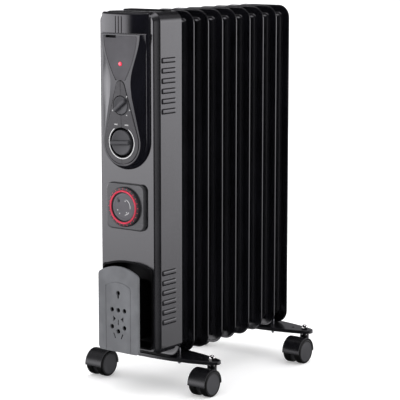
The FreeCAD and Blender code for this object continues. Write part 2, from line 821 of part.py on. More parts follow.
# ------------------------------------------------------------------ crossbars
def crossbar_wire(shrink, z):
    """Boat outline: two long arcs that run tangent into the round tips."""
    tip = crossbar_tip_radius - shrink
    half = crossbar_half_width - shrink
    tip_x = crossbar_half_length - crossbar_tip_radius
    big = (tip_x ** 2 + half ** 2 - tip ** 2) / (2 * (half - tip))
    lean = math.atan2(tip_x, big - half)
    touch_x, touch_y = tip_x + tip * math.sin(lean), tip * math.cos(lean)
    edges = [
        Part.Arc(V(touch_x, -touch_y, z), V(tip_x + tip, 0, z), V(touch_x, touch_y, z)),
        Part.Arc(V(touch_x, touch_y, z), V(0, half, z), V(-touch_x, touch_y, z)),
        Part.Arc(V(-touch_x, touch_y, z), V(-tip_x - tip, 0, z), V(-touch_x, -touch_y, z)),
        Part.Arc(V(-touch_x, -touch_y, z), V(0, -half, z), V(touch_x, -touch_y, z)),
    ]
    return Part.Wire([edge.toShape() for edge in edges])


def make_crossbars():
    outer = Part.Face(crossbar_wire(0, crossbar_bottom)).extrude(V(0, 0, crossbar_depth))
    outer = round_where(outer, crossbar_sheet, lambda b: b.ZMin > fin_bottom - 0.01)
    inner = Part.Face(crossbar_wire(crossbar_sheet, crossbar_bottom - 1))
    inner = inner.extrude(V(0, 0, crossbar_depth - crossbar_sheet + 1))
    holes = []
    for side in (-1, 1):
        holes.append(rod_z(side * stem_x, 0, stem_radius + seat_gap, crossbar_bottom, fin_bottom + 1))
        holes.append(rod_z(side * crossbar_hole_x, 0, crossbar_hole_radius, crossbar_bottom, fin_bottom + 1))
        holes.append(rod_z(side * bolt_leg_x, 0, bolt_rod + seat_gap, crossbar_bottom, fin_bottom + 1))
    bar = outer.cut([inner] + holes)
    for name, place in crossbar_places.items():
        nodes[f"{name}_bracket"] = moved(bar, 0, place, 0)


def bolt_shape():
    """One clamp bolt in the plane Y = 0: over the hub ring, out to the legs and down."""
    bow = hub_radius + bolt_rod + 0.3
    knee_z = fin_bottom + 8
    reach = math.hypot(bolt_leg_x, hub_low - knee_z)
    lean = math.atan2(hub_low - knee_z, bolt_leg_x) - math.acos(bow / reach)
    touch = V(bow * math.cos(lean), 0, hub_low - bow * math.sin(lean))
    legs = []
    for side in (-1, 1):
        start, end = V(side * touch.x, 0, touch.z), V(side * bolt_leg_x, 0, knee_z)
        legs.append(Part.makeCylinder(bolt_rod, (end - start).Length, start, end - start))
        legs.append(Part.makeSphere(bolt_rod, end))
        legs.append(rod_z(side * bolt_leg_x, 0, bolt_rod, crossbar_bottom - bolt_end_drop, knee_z))
    arch = Part.makeTorus(bow, bolt_rod, V(0, 0, hub_low), Y_AXIS)
    arch = arch.common(box(-2 * bow, 2 * bow, -2 * bolt_rod, 2 * bolt_rod, touch.z, hub_low + 2 * bow))
    return arch.fuse(legs)


def make_fasteners():
    bolt = bolt_shape()
    bolts, wings, nuts, stems = [], [], [], []
    plate_low = fin_bottom - crossbar_sheet
    for place in crossbar_places.values():
        bolts.append(moved(bolt, 0, place, 0))
        for side in (-1, 1):
            x = side * bolt_leg_x
            hub = rod_z(x, place, bolt_rod + 2.5, plate_low - 6, plate_low)
            wing = box(x - wing_span / 2, x + wing_span / 2, place - 1, place + 1, plate_low - 9, plate_low - 2)
            hole = rod_z(x, place, bolt_rod + seat_gap, plate_low - 10, plate_low + 1)
            wings.append(hub.fuse(wing).cut(hole))

            x = side * stem_x
            pin = rod_z(x, place, stem_radius, stem_end, fin_bottom + nut_height + 2)
            shoulder = rod_z(x, place, stem_shoulder, hood_top + swivel_play, plate_low)
            stems.append(pin.fuse(shoulder))
            hexagon = [V(x + nut_radius * math.cos(math.radians(60 * k)),
                         place + nut_radius * math.sin(math.radians(60 * k)), fin_bottom) for k in range(6)]
            base = Part.Face(Part.makePolygon(hexagon + hexagon[:1])).extrude(V(0, 0, nut_height))
            dome = Part.makeSphere(nut_radius - 1, V(x, place, fin_bottom + nut_height))
            well = rod_z(x, place, stem_radius + seat_gap / 2, fin_bottom - 1, fin_bottom + nut_height + 2.2)
            cap = dome.cut(rod_z(x, place, nut_radius, fin_bottom - nut_radius, fin_bottom))
            nuts.append(base.fuse(cap).cut(well))
    nodes["u_bolts"] = Part.makeCompound(bolts)
    nodes["wing_nuts"] = Part.makeCompound(wings)
    nodes["caster_stems"] = Part.makeCompound(stems)
    nodes["cap_nuts"] = Part.makeCompound(nuts)


# ------------------------------------------------------------------ casters
def caster_wheel():
    """Right-hand wheel about its own axle line, with its plain face outwards."""
    x0, x1 = wheel_inner_x, wheel_inner_x + wheel_width
    bore, rim = axle_radius + running_gap, wheel_radius - wheel_rim_wall
    floor = x1 - wheel_face_thickness
    profile = turned([(x0, bore), (x0, wheel_hub_radius), (floor - 3, wheel_hub_radius), (floor - 3, rim),
                      (x0, rim), (x0, wheel_radius), (x1, wheel_radius), (x1, 0), (floor, 0), (floor, bore)])
    return round_where(profile, wheel_edge_round,
                       lambda b: b.XMin > x1 - 0.01 and b.ZLength > 2 * wheel_radius - 0.1)


def caster_hood():
    """Hood, web and swivel boss, with the stem axis at the origin and the floor at Z = 0."""
    y, z = -trail, wheel_radius
    low = z - hood_skirt_drop
    gap_radius = wheel_radius + hood_gap
    above = box(-50, 50, y - 50, y + 50, low, low + 100)
    band = rod_x(y, z, hood_radius, -hood_half_width, hood_half_width)
    band = band.cut(rod_x(y, z, gap_radius, -hood_half_width - 1, hood_half_width + 1))
    web = rod_x(y, z, hood_radius - hood_wall / 2, -hood_web_half, hood_web_half)
    socket = rod_z(0, 0, hood_boss_radius, z, hood_top)
    socket = socket.cut(rod_x(y, z, gap_radius, -20, 20))
    cheek = box(-hood_web_half, hood_web_half, -8, hood_web_half, low, z + hood_radius / 2)
    hub = rod_x(y, z, hood_hub_radius, -hood_web_half, hood_web_half)
    body = band.fuse([web, cheek]).common(above).fuse([socket, hub])
    bores = [rod_z(0, 0, stem_radius + running_gap, stem_end - swivel_play, hood_top + 1),
             rod_x(y, z, axle_radius + 0.02, -hood_web_half - 1, hood_web_half + 1)]
    return body.cut(bores)


def make_casters():
    wheel, hood = caster_wheel(), caster_hood()
    mirrored = wheel.mirror(V(0, 0, 0), X_AXIS)
    reach = wheel_inner_x + wheel_width - wheel_face_thickness - 0.3
    axle = rod_x(0, 0, axle_radius, -reach, reach)
    for row, place in crossbar_places.items():
        for hand, side in (("left", -1), ("right", 1)):
            name, x = f"{row}_{hand}", side * stem_x
            at = (x, place - trail, wheel_radius)
            outer, inner = (wheel, mirrored) if side > 0 else (mirrored, wheel)
            nodes[f"{name}_hood"] = moved(hood, x, place, 0)
            nodes[f"{name}_axle"] = moved(axle, *at)
            nodes[f"{name}_outer_wheel"] = moved(outer, *at)
            nodes[f"{name}_inner_wheel"] = moved(inner, *at)


def main():
    make_fins()
    make_hub_rings()
    make_oil_parts()
    make_housing()
    make_inner_metalwork()
    make_grip()
    make_console()
    make_console_trim()
    make_knobs()
    make_timer()
    make_bay()
    make_gland()
    make_winder()
    make_crossbars()
    make_fasteners()
    make_casters()
    os.makedirs("parts", exist_ok=True)
    for name, shape in nodes.items():
        shape.exportStep(f"parts/{name}.step")
    print(len(nodes), "nodes")


main()
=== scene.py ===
import math

import bmesh
import bpy
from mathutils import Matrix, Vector


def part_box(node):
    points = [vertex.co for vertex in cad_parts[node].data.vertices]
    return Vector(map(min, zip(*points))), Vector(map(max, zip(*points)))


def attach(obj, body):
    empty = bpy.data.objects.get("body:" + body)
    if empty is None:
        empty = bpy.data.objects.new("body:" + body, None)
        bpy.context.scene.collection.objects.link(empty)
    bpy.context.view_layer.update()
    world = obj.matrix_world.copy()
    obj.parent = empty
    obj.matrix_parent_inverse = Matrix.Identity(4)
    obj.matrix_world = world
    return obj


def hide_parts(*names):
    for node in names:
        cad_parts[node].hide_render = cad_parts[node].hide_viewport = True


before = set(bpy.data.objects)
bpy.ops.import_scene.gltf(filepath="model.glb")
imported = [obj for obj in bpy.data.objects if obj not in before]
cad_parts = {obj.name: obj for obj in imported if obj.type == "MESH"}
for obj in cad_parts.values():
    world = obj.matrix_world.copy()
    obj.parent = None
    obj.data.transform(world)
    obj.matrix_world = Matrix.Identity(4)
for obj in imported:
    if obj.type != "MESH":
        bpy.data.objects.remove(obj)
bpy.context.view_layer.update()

MM = 0.001

bl_info = {
    "name": "Oil filled radiator heater",
    "version": (1, 0, 0),
    "blender": (4, 5, 0),
    "location": "3D View > Sidebar > Heater",
    "description": "Builds the looks of a finned radiator heater around its fixed frame",
    "category": "Object",
}


# ------------------------------------------------------------------ places read from the frame
def span(node):
    """Lowest and highest corner of a frame node."""
    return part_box(node)


def middle(node):
    low, high = span(node)
    return (low + high) / 2


HOUSING_LOW, HOUSING_HIGH = span("shroud")
FIN_LOW, FIN_HIGH = span("fin_1")
FIN_NAMES = sorted(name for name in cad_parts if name.startswith("fin_"))
CASTERS = [f"{row}_{hand}" for row in ("front", "rear") for hand in ("left", "right")]


# ------------------------------------------------------------------ node graphs
class Wire:
    """A socket of a node graph. Arithmetic on it adds Math nodes."""

    def __init__(self, graph, socket):
        self.graph = graph
        self.socket = socket

    def math(self, operation, *values):
        return self.graph.add("ShaderNodeMath", {"operation": operation}, *values)

    def __add__(self, other):
        return self.math("ADD", self, other)

    def __radd__(self, other):
        return self.math("ADD", other, self)

    def __sub__(self, other):
        return self.math("SUBTRACT", self, other)

    def __rsub__(self, other):
        return self.math("SUBTRACT", other, self)

    def __mul__(self, other):
        return self.math("MULTIPLY", self, other)

    def __rmul__(self, other):
        return self.math("MULTIPLY", other, self)

    def __truediv__(self, other):
        return self.math("DIVIDE", self, other)

    def __rtruediv__(self, other):
        return self.math("DIVIDE", other, self)

    def __gt__(self, other):
        return self.math("GREATER_THAN", self, other)

    def __lt__(self, other):
        return self.math("LESS_THAN", self, other)

    def __abs__(self):
        return self.math("ABSOLUTE", self)

    def low(self, other):
        return self.math("MINIMUM", self, other)

    def high(self, other):
        return self.math("MAXIMUM", self, other)

    def root(self):
        return self.math("SQRT", self)

    def wave(self):
        return self.math("SINE", self)

    def step(self, start, end):
        """0 below start, 1 above end, smooth between."""
        return self.graph.add("ShaderNodeMapRange", {"interpolation_type": "SMOOTHSTEP"},
                              **{"Value": self, "From Min": start, "From Max": end})


class Graph:
    """Adds nodes to a tree: settings first, then values or links for the sockets."""

    def __init__(self, tree):
        self.tree = tree

    def add(self, kind, settings=None, *values, **named):
        node = self.tree.nodes.new(kind)
        for key, value in (settings or {}).items():
            setattr(node, key, value)
        for key, value in list(enumerate(values)) + list(named.items()):
            self.feed(node.inputs[key], value)
        outputs = [socket for socket in node.outputs if socket.enabled]
        wire = Wire(self, outputs[0]) if outputs else None
        if wire:
            wire.node = node
        return wire or node

    def feed(self, target, value):
        if isinstance(value, Wire):
            self.tree.links.new(value.socket, target)
        elif value is not None:
            target.default_value = value

    def inputs(self):
        """The tree's own inputs, by name."""
        outputs = self.tree.nodes.new("NodeGroupInput").outputs
        return {socket.name: Wire(self, socket) for socket in outputs if socket.name}

    def parts(self, vector):
        """The three parts of a vector."""
        split = self.add("ShaderNodeSeparateXYZ", {}, vector)
        return [Wire(self, socket) for socket in split.node.outputs]

    def vector(self, x, y, z):
        return self.add("ShaderNodeCombineXYZ", {}, x, y, z)

    def mix(self, share, first, second):
        """Mix of two colours."""
        wire = self.add("ShaderNodeMix", {"data_type": "RGBA"})
        node = wire.node
        for key, value in ((0, share), (6, first), (7, second)):
            self.feed(node.inputs[key], value)
        return Wire(self, node.outputs[2])

    def noise(self, place, scale, detail):
        return self.add("ShaderNodeTexNoise", {}, Vector=place, Scale=scale, Detail=detail, Roughness=0.5)


def opaque(colour):
    return (*colour[:3], 1.0)


def lighter(colour, share):
    return tuple(min(1.0, c * share) for c in colour[:3])


class Finish:
    """A material on the Principled shader, with its pattern read from Object coordinates."""

    def __init__(self, name, **fixed):
        self.material = bpy.data.materials.new(name)
        self.material.use_nodes = True
        tree = self.material.node_tree
        tree.nodes.clear()
        self.graph = Graph(tree)
        self.shader = tree.nodes.new("ShaderNodeBsdfPrincipled")
        output = tree.nodes.new("ShaderNodeOutputMaterial")
        tree.links.new(self.shader.outputs[0], output.inputs[0])
        for key, value in fixed.items():
            self.shader.inputs[key.replace("_", " ")].default_value = value
        self.place = self.graph.add("ShaderNodeTexCoord")
        self.place = Wire(self.graph, self.place.node.outputs["Object"])
        self.x, self.y, self.z = self.graph.parts(self.place)

    def set(self, name, value):
        self.graph.feed(self.shader.inputs[name], value)

    def bump(self, height, strength, distance):
        self.set("Normal", self.graph.add("ShaderNodeBump", {}, Strength=strength, Distance=distance,
                                          Height=height))

    def speckled(self, colour, share, scale, detail=3.0):
        """A colour that drifts towards a lighter one in soft patches."""
        patch = self.graph.noise(self.place, scale, detail).step(0.35, 0.7)
        return self.graph.mix(patch, opaque(colour), opaque(lighter(colour, share)))


def enamel(name, colour, rough, peel, coat):
    """Baked enamel on steel: orange peel, faint clouds in the gloss and a little dust."""
    look = Finish(name, Specular_IOR_Level=0.75, Coat_Weight=coat, Coat_Roughness=0.06)
    graph = look.graph
    cloud = graph.noise(look.place, 9.0, 3.0)
    dust = graph.noise(look.place, 900.0, 2.0).step(0.66, 0.8)
    clouded = look.speckled(colour, 1.5, 14.0)
    look.set("Base Color", graph.mix(dust * 0.25, clouded, opaque(lighter(colour, 4.0))))
    look.set("Roughness", rough + (cloud - 0.5) * 0.10 + dust * 0.12)
    ripple = graph.noise(look.place, 260.0, 2.0) * 0.7 + graph.noise(look.place, 1100.0, 1.0) * 0.3
    look.bump(ripple, peel, 0.0002)
    return look.material


def polished(name, colour, rough, wells=None):
    """Injection moulded gloss plastic with hairline scratches. wells is a mask for matt recesses."""
    look = Finish(name, Specular_IOR_Level=0.5, Coat_Weight=0.2, Coat_Roughness=0.05)
    graph = look.graph
    stretched = graph.add("ShaderNodeMapping", {}, Vector=look.place, Rotation=(0.3, 0.9, 0.2),
                          Scale=(4.0, 60.0, 700.0))
    scratch = graph.noise(stretched, 3.0, 2.0).step(0.62, 0.72)
    cloud = graph.noise(look.place, 18.0, 2.0)
    look.set("Base Color", look.speckled(colour, 1.4, 20.0))
    gloss = rough + (cloud - 0.5) * 0.08 + scratch * 0.10
    if wells:
        matt = wells(look)
        gloss = gloss * (1 - matt) + 0.85 * matt
        look.set("Coat Weight", 0.2 * (1 - matt))
    look.set("Roughness", gloss)
    look.bump(graph.noise(look.place, 170.0, 2.0) - scratch * 0.05, 0.05, 0.0002)
    return look.material


def grained(name, colour, rough, scale, depth, marks=None, mark_colour=(0.8, 0.8, 0.8), shine=0.5):
    """Moulded plastic with a fine spark grain. marks is a mask for printed lines."""
    look = Finish(name, Specular_IOR_Level=shine)
    graph = look.graph
    grain = graph.add("ShaderNodeTexVoronoi", {"feature": "SMOOTH_F1"}, Vector=look.place, Scale=scale)
    fine = graph.noise(look.place, scale * 1.7, 3.0)
    base = look.speckled(colour, 1.35, 24.0)
    printed = marks(look) if marks else None
    gloss = rough + (graph.noise(look.place, 30.0, 2.0) - 0.5) * 0.12 + fine * 0.06
    if printed is None:
        look.set("Base Color", base)
        look.set("Roughness", gloss)
    else:
        look.set("Base Color", graph.mix(printed, base, opaque(mark_colour)))
        look.set("Roughness", gloss * (1 - printed) + 0.45 * printed)
    look.bump(grain * 0.6 + fine * 0.4, depth, 0.00015)
    return look.material


def plated(name, colour, rough, streak):
    """Plated steel, with drawn streaks and a few dull spots."""
    look = Finish(name, Metallic=1.0)
    graph = look.graph
    drawn = graph.add("ShaderNodeMapping", {}, Vector=look.place, Scale=(streak, streak, 60.0))
    line = graph.noise(drawn, 12.0, 3.0)
    spot = graph.noise(look.place, 130.0, 2.0).step(0.6, 0.75)
    look.set("Base Color", graph.mix(spot * 0.5, opaque(colour), opaque(lighter(colour, 0.6))))
    look.set("Roughness", rough + (line - 0.5) * 0.15 + spot * 0.15)
    look.bump(line, 0.08, 0.0001)
    return look.material


# ------------------------------------------------------------------ outlines in the XZ plane
def ease(t):
    """0 to 1 with a soft start and end."""
    t = min(1.0, max(0.0, t))
    return t * t * (3 - 2 * t)


def sweep(cx, cz, radius, start, turn, steps):
    """Points along an arc, both ends included."""
    found = []
    for i in range(steps + 1):
        angle = math.radians(start + turn * i / steps)
        found.append((cx + radius * math.cos(angle), cz + radius * math.sin(angle)))
    return found


def rounded(half, low, high, r_low, r_high, steps=10):
    """Upright rectangle with its own corner radii below and above."""
    r_low, r_high = max(r_low, 1e-5), max(r_high, 1e-5)
    return (sweep(half - r_low, low + r_low, r_low, 270, 90, steps)
            + sweep(half - r_high, high - r_high, r_high, 0, 90, steps)
            + sweep(-half + r_high, high - r_high, r_high, 90, 90, steps)
            + sweep(-half + r_low, low + r_low, r_low, 180, 90, steps))


def arched(half, low, side, rise, r_low, r_side, steps=8):
    """Panel with round lower corners, soft shoulders and an arched top."""
    radius = (half * half + rise * rise) / (2 * rise)
    centre = side + rise - radius
    reach = half - r_side
    lean = math.degrees(math.asin(reach / radius))
    top = sweep(0, centre, radius, 90 - lean, 2 * lean, 2 * steps)
    end_z = top[0][1] - r_side * 0.9
    right = [(half, end_z - r_side * 0.2)] + sweep(half - r_side, end_z, r_side, 0, 60, steps // 2)
    left = [(-x, z) for x, z in reversed(right)]
    return (sweep(half - r_low, low + r_low, r_low, 270, 90, steps) + right + top + left
            + sweep(-half + r_low, low + r_low, r_low, 180, 90, steps))


def teardrop(z_big, r_big, z_small, r_small, steps=20):
    """Outline round a large circle below and a small one above."""
    lean = math.degrees(math.asin((r_big - r_small) / (z_small - z_big)))
    return (sweep(0, z_small, r_small, lean, 180 - 2 * lean, steps)
            + sweep(0, z_big, r_big, 180 - lean, 180 + 2 * lean, 2 * steps))


# ------------------------------------------------------------------ meshes
class Skin:
    """Collects rings of points and the faces between them."""

    def __init__(self):
        self.bm = bmesh.new()

    def ring(self, points):
        return [self.bm.verts.new(p) for p in points]

    def bridge(self, first, second):
        for i in range(len(first)):
            j = (i + 1) % len(first)
            self.bm.faces.new((first[i], first[j], second[j], second[i]))

    def cap(self, ring):
        self.bm.faces.new(ring)

    def tube(self, rings, ends=True):
        """A closed skin through the rings; ends closes both mouths, otherwise last meets first."""
        made = [self.ring(points) for points in rings]
        for first, second in zip(made, made[1:]):
            self.bridge(first, second)
        if ends:
            self.cap(made[0])
            self.cap(made[-1])
        else:
            self.bridge(made[-1], made[0])

    def add(self, other):
        """Takes in another skin's faces."""
        mesh = bpy.data.meshes.new("part")
        other.bm.to_mesh(mesh)
        self.bm.from_mesh(mesh)
        bpy.data.meshes.remove(mesh)
        return self

    def mesh(self, name):
        bmesh.ops.remove_doubles(self.bm, verts=self.bm.verts, dist=1e-7)
        bmesh.ops.recalc_face_normals(self.bm, faces=self.bm.faces)
        mesh = bpy.data.meshes.new(name)
        self.bm.to_mesh(mesh)
        self.bm.free()
        return mesh


def at_y(outline, y):
    """An XZ outline as points in the plane at y."""
    return [(x, y, z) for x, z in outline]


def pillow(skin, outline, front, back, edge, steps=6):
    """A plate between two y values; outline(inset) gives its edge, which is rounded at the front."""
    rings = [at_y(outline(0.0), back)]
    for i in range(steps + 1):
        angle = math.pi / 2 * i / steps
        rings.append(at_y(outline(edge * (1 - math.cos(angle))), front + edge * (1 - math.sin(angle))))
    skin.tube(rings)
    return skin


def lathe(skin, profile, centre, axis, steps=48):
    """Turns (along, radius) points about the axis. Points with no radius close the ends."""
    sides = (Vector((1, 0, 0)), Vector((0, 1, 0)), Vector((0, 0, 1)))
    first, second = [side for side in sides if abs(side.dot(axis)) < 0.5]
    rings = []
    for along, radius in profile:
        spot = Vector(centre) + axis * along
        rings.append([spot + (first * math.cos(a) + second * math.sin(a)) * max(radius, 1e-6)
                      for a in [math.tau * i / steps for i in range(steps)]])
    skin.tube(rings)
    return skin


def evaluated_mesh(obj, name):
    """The object's final mesh, with its modifiers applied and the object removed."""
    graph = bpy.context.evaluated_depsgraph_get()
    mesh = bpy.data.meshes.new_from_object(obj.evaluated_get(graph))
    mesh.name = name
    bpy.data.objects.remove(obj)
    return mesh


def scratch_object(mesh):
    """The mesh as an object in the scene."""
    obj = bpy.data.objects.new(mesh.name, mesh)
    bpy.context.scene.collection.objects.link(obj)
    return obj


def carve(mesh, cutter):
    """The mesh with the cutter's volumes taken away."""
    body, tool = scratch_object(mesh), scratch_object(cutter)
    cut = body.modifiers.new("cut", "BOOLEAN")
    cut.object, cut.operation, cut.solver = tool, "DIFFERENCE", "EXACT"
    done = evaluated_mesh(body, mesh.name)
    bpy.data.objects.remove(tool)
    return done


def piece(name, mesh, material, body, nodes=(), angle=35.0):
    """A finished piece that rides on a body and stands for frame nodes."""
    obj = scratch_object(mesh)
    obj.name = name
    mesh.name = name
    mesh.materials.clear()
    mesh.materials.append(material)
    mesh.polygons.foreach_set("use_smooth", [True] * len(mesh.polygons))
    mesh.set_sharp_from_angle(angle=math.radians(angle))
    flat = obj.modifiers.new("flat faces stay flat", "WEIGHTED_NORMAL")
    flat.keep_sharp = True
    flat.weight = 80
    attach(obj, body)
    if nodes:
        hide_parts(*nodes)
    return obj


def paint(node, material):
    """Gives a frame node that stays its material."""
    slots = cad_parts[node].data.materials
    slots.clear()
    slots.append(material)


# ------------------------------------------------------------------ sizes and colours
def size(name, default, about):
    return bpy.props.FloatProperty(name=name, description=about, default=default, unit="LENGTH", precision=5)


def colour(name, default, about):
    return bpy.props.FloatVectorProperty(name=name, description=about, default=default, size=3,
                                         subtype="COLOR", min=0.0, max=1.0)


class HeaterSizes(bpy.types.PropertyGroup):
    """Sizes of the visible skin, in metres."""

    sheet: size("Sheet", 0.8 * MM, "Thickness of the steel of fins and housing")
    fin_rim: size("Fin rim", 12.5 * MM, "Width of the flat rim round each fin")
    fin_rim_roll: size("Rim roll", 1.5 * MM, "Radius of the rolled edge of a fin")
    fin_channel: size("Oil channel", 10.0 * MM, "Half the thickness of a fin at its oil channels")
    fin_slope: size("Channel slope", 5.2 * MM, "Width of the curved shoulder from rim to channel")
    fin_corner: size("Fin corner", 23.0 * MM, "Corner radius of a fin")
    web_half_width: size("Web", 26.0 * MM, "Half the width of the sunken web of a fin")
    header_height: size("Header", 68.0 * MM, "Height of the oil headers at top and bottom of a fin")
    housing_round: size("Housing edge", 5.2 * MM, "Width of the housing's chamfered front edges")
    housing_round_depth: size("Housing edge depth", 13.5 * MM, "How far back the chamfered front edges reach")
    housing_top_round: size("Housing top corner", 17.0 * MM, "Radius of the housing's upper corners")
    housing_bottom_round: size("Housing lower corner", 10.0 * MM, "Radius of the housing's lower corners")
    louvre_proud: size("Louvre swell", 2.0 * MM, "How far a louvre stands out at its lower edge")
    louvre_height: size("Louvre height", 9.5 * MM, "Height of one louvre")
    louvre_length: size("Louvre length", 38.0 * MM, "Length of one louvre")
    louvre_pitch: size("Louvre pitch", 16.7 * MM, "Distance from louvre to louvre")
    console_top_round: size("Console corner", 4.0 * MM, "Radius of the console's upper corners")
    key_top: size("Keystone top", 0.605, "Height of the keystone's upper edge")
    key_neck: size("Keystone neck", 0.506, "Height of the keystone's neck")
    key_top_half: size("Keystone half width", 42.0 * MM, "Half the width of the keystone at its top")
    key_neck_half: size("Keystone neck half width", 22.0 * MM, "Half the width of the keystone at its neck")
    panel_top_half: size("Panel top half width", 34.5 * MM, "Half the width of the inner panel at its top")
    panel_low_half: size("Panel low half width", 9.5 * MM, "Half the width of the inner panel at its foot")
    cap_swell: size("Cap swell", 7.0 * MM, "How far the cap bulges forwards")
    pod_radius: size("Pod radius", 40.0 * MM, "Radius of the pod that carries the knobs")
    skirt_half: size("Skirt half width", 45.5 * MM, "Half the width of the sloping skirt at its foot")
    thermostat_recess: size("Thermostat recess", 25.0 * MM, "Radius of the recess of the thermostat knob")
    power_recess: size("Power recess", 16.3 * MM, "Radius of the recess of the power knob")
    scale_radius: size("Power scale", 20.0 * MM, "Radius of the ring of dots round the power knob")
    thermostat_face: size("Thermostat face", -201.25 * MM, "Place of the thermostat knob's face along Y")
    power_face: size("Power knob face", -201.75 * MM, "Place of the power knob's face along Y")
    power_bar_angle: bpy.props.FloatProperty(
        name="Power knob angle", description="Angle of the power knob's bar, in degrees", default=38.0)
    tappet_width: size("Tappet", 1.25 * MM, "Width of one timer tappet")


class HeaterColours(bpy.types.PropertyGroup):
    """Base colours of the finishes."""

    fins: colour("Fins", (0.003, 0.003, 0.004), "Enamel of the fins")
    housing: colour("Housing", (0.006, 0.006, 0.007), "Enamel of the housing")
    console: colour("Console", (0.004, 0.004, 0.006), "Polished console")
    timer: colour("Timer", (0.027, 0.027, 0.029), "Polished timer block")
    panel: colour("Panel", (0.048, 0.046, 0.052), "Satin control panel")
    knobs: colour("Knobs", (0.030, 0.030, 0.034), "Satin knobs")
    winder: colour("Winder", (0.100, 0.103, 0.110), "Satin cord winder plate")
    bay: colour("Bay", (0.0015, 0.0015, 0.002), "Lining of the cord bay")
    casters: colour("Casters", (0.004, 0.004, 0.005), "Caster hoods")
    treads: colour("Treads", (0.004, 0.004, 0.004), "Treads of the caster wheels")
    wheels: colour("Wheels", (0.036, 0.036, 0.039), "Faces of the caster wheels")
    tappets: colour("Tappets", (0.55, 0.035, 0.075), "Timer tappets")
    print: colour("Print", (0.62, 0.62, 0.62), "Printed scales and marks")


def sizes():
    return bpy.context.scene.heater_sizes


def colours():
    return bpy.context.scene.heater_colours


# ------------------------------------------------------------------ finishes
FINISHES = {}


def make_finishes():
    """Every finish of the heater, by the record's slot names."""
    tint = colours()
    FINISHES.update(
        fin_enamel=enamel("fin_enamel", tint.fins, 0.13, 0.04, 0.2),
        housing_enamel=enamel("housing_enamel", tint.housing, 0.15, 0.05, 0.4),
        console_plastic=polished("console_plastic", tint.console, 0.14, console_wells),
        timer_plastic=polished("timer_plastic", tint.timer, 0.24),
        panel_plastic=grained("panel_plastic", tint.panel, 0.42, 2400.0, 0.10),
        scale_plastic=grained("scale_plastic", lighter(tint.panel, 0.35), 0.24, 2400.0, 0.06, scale_marks,
                              tint.print),
        dial_plastic=grained("dial_plastic", lighter(tint.knobs, 0.6), 0.35, 2400.0, 0.06, dial_marks,
                             tint.tappets),
        face_plastic=grained("face_plastic", lighter(tint.panel, 1.6), 0.4, 2400.0, 0.08, face_marks,
                             tint.print),
        knob_plastic=grained("knob_plastic", tint.knobs, 0.38, 2000.0, 0.10),
        winder_plastic=grained("winder_plastic", tint.winder, 0.45, 1500.0, 0.14),
        bay_plastic=grained("bay_plastic", tint.bay, 0.5, 1500.0, 0.12, shine=0.2),
        caster_plastic=grained("caster_plastic", tint.casters, 0.24, 1400.0, 0.08),
        wheel_plastic=grained("wheel_plastic", tint.wheels, 0.55, 1300.0, 0.2, wheel_treads,
                              tint.treads, shine=0.35),
        phenolic=grained("phenolic", (0.55, 0.5, 0.38), 0.5, 900.0, 0.1),
        gland_rubber=grained("gland_rubber", (0.012, 0.012, 0.012), 0.7, 1800.0, 0.2),
        tappet_red=polished("tappet_red", tint.tappets, 0.3),
        lamp_red=lamp_glass("lamp_red", (0.8, 0.02, 0.06)),
        bright_steel=plated("bright_steel", (0.85, 0.84, 0.82), 0.1, 8.0),
        plain_steel=plated("plain_steel", (0.42, 0.42, 0.44), 0.34, 4.0),
        bracket_enamel=enamel("bracket_enamel", lighter(tint.fins, 1.6), 0.3, 0.08, 0.3),
    )


def lamp_glass(name, glow):
    """Clear red lens with a prismatic back, lit faintly from behind."""
    look = Finish(name, Specular_IOR_Level=0.7, Emission_Strength=0.35, Coat_Weight=0.6)
    graph = look.graph
    prism = graph.add("ShaderNodeTexVoronoi", {}, Vector=look.place, Scale=1400.0)
    look.set("Base Color", look.speckled(glow, 1.3, 600.0, 1.0))
    look.set("Emission Color", graph.mix(prism.low(1.0), opaque(glow), opaque(lighter(glow, 0.4))))
    look.set("Roughness", 0.12 + prism * 0.15)
    look.bump(prism, 0.15, 0.0002)
    return look.material


# ------------------------------------------------------------------ fins
def fin_skin():
    """One fin, standing at y = 0: two pressed sheets, welded round a rolled rim."""
    s = sizes()
    half, low, high = FIN_HIGH.x, FIN_LOW.z, FIN_HIGH.z
    roll = s.fin_rim_roll

    def outline(inset, y):
        radius = max(s.fin_corner - inset, 4 * MM)
        return at_y(rounded(half - inset, low + inset, high - inset, radius, radius, 8), y)

    rim = s.sheet * 1.3
    side = [(0.0, 0.0), (0.0, roll * 0.6), (roll * 0.1, roll * 0.8), (roll * 0.3, roll * 0.95),
            (roll * 0.6, roll), (roll * 2.6, roll), (roll * 3.0, rim), (s.fin_rim, rim)]
    rise = s.fin_channel - rim
    side += [(s.fin_rim + s.fin_slope * t, rim + rise * ease(t))
             for t in (0.1, 0.22, 0.36, 0.5, 0.64, 0.78, 0.9, 1.0)]
    skin = Skin()
    made = [skin.ring(outline(inset, y)) for inset, y in side]
    back = [skin.ring(outline(inset, -y)) for inset, y in side[1:]]
    for first, second in zip(made, made[1:]):
        skin.bridge(first, second)
    skin.bridge(made[0], back[0])
    for first, second in zip(back, back[1:]):
        skin.bridge(first, second)
    web_low, web_high = low + s.header_height, high - s.header_height

    def web(inset, y):
        radius = max(14 * MM - inset, 3 * MM)
        half_width = s.web_half_width - inset
        return at_y(rounded(half_width, web_low + inset, web_high - inset, radius, radius, 8), y)

    fall = s.fin_channel - 3 * MM
    steps = [(0.0, 0.0), (0.12, 0.03), (0.3, 0.2), (0.5, 0.5), (0.7, 0.8), (0.88, 0.97), (1.0, 1.0)]
    for sign, edge in ((1, made[-1]), (-1, back[-1])):
        rings = [skin.ring(web(10 * MM * t, sign * (s.fin_channel - fall * f))) for t, f in steps]
        skin.bridge(edge, rings[0])
        for first, second in zip(rings, rings[1:]):
            skin.bridge(first, second)
        skin.cap(rings[-1])
    return skin.mesh("fin_skin")


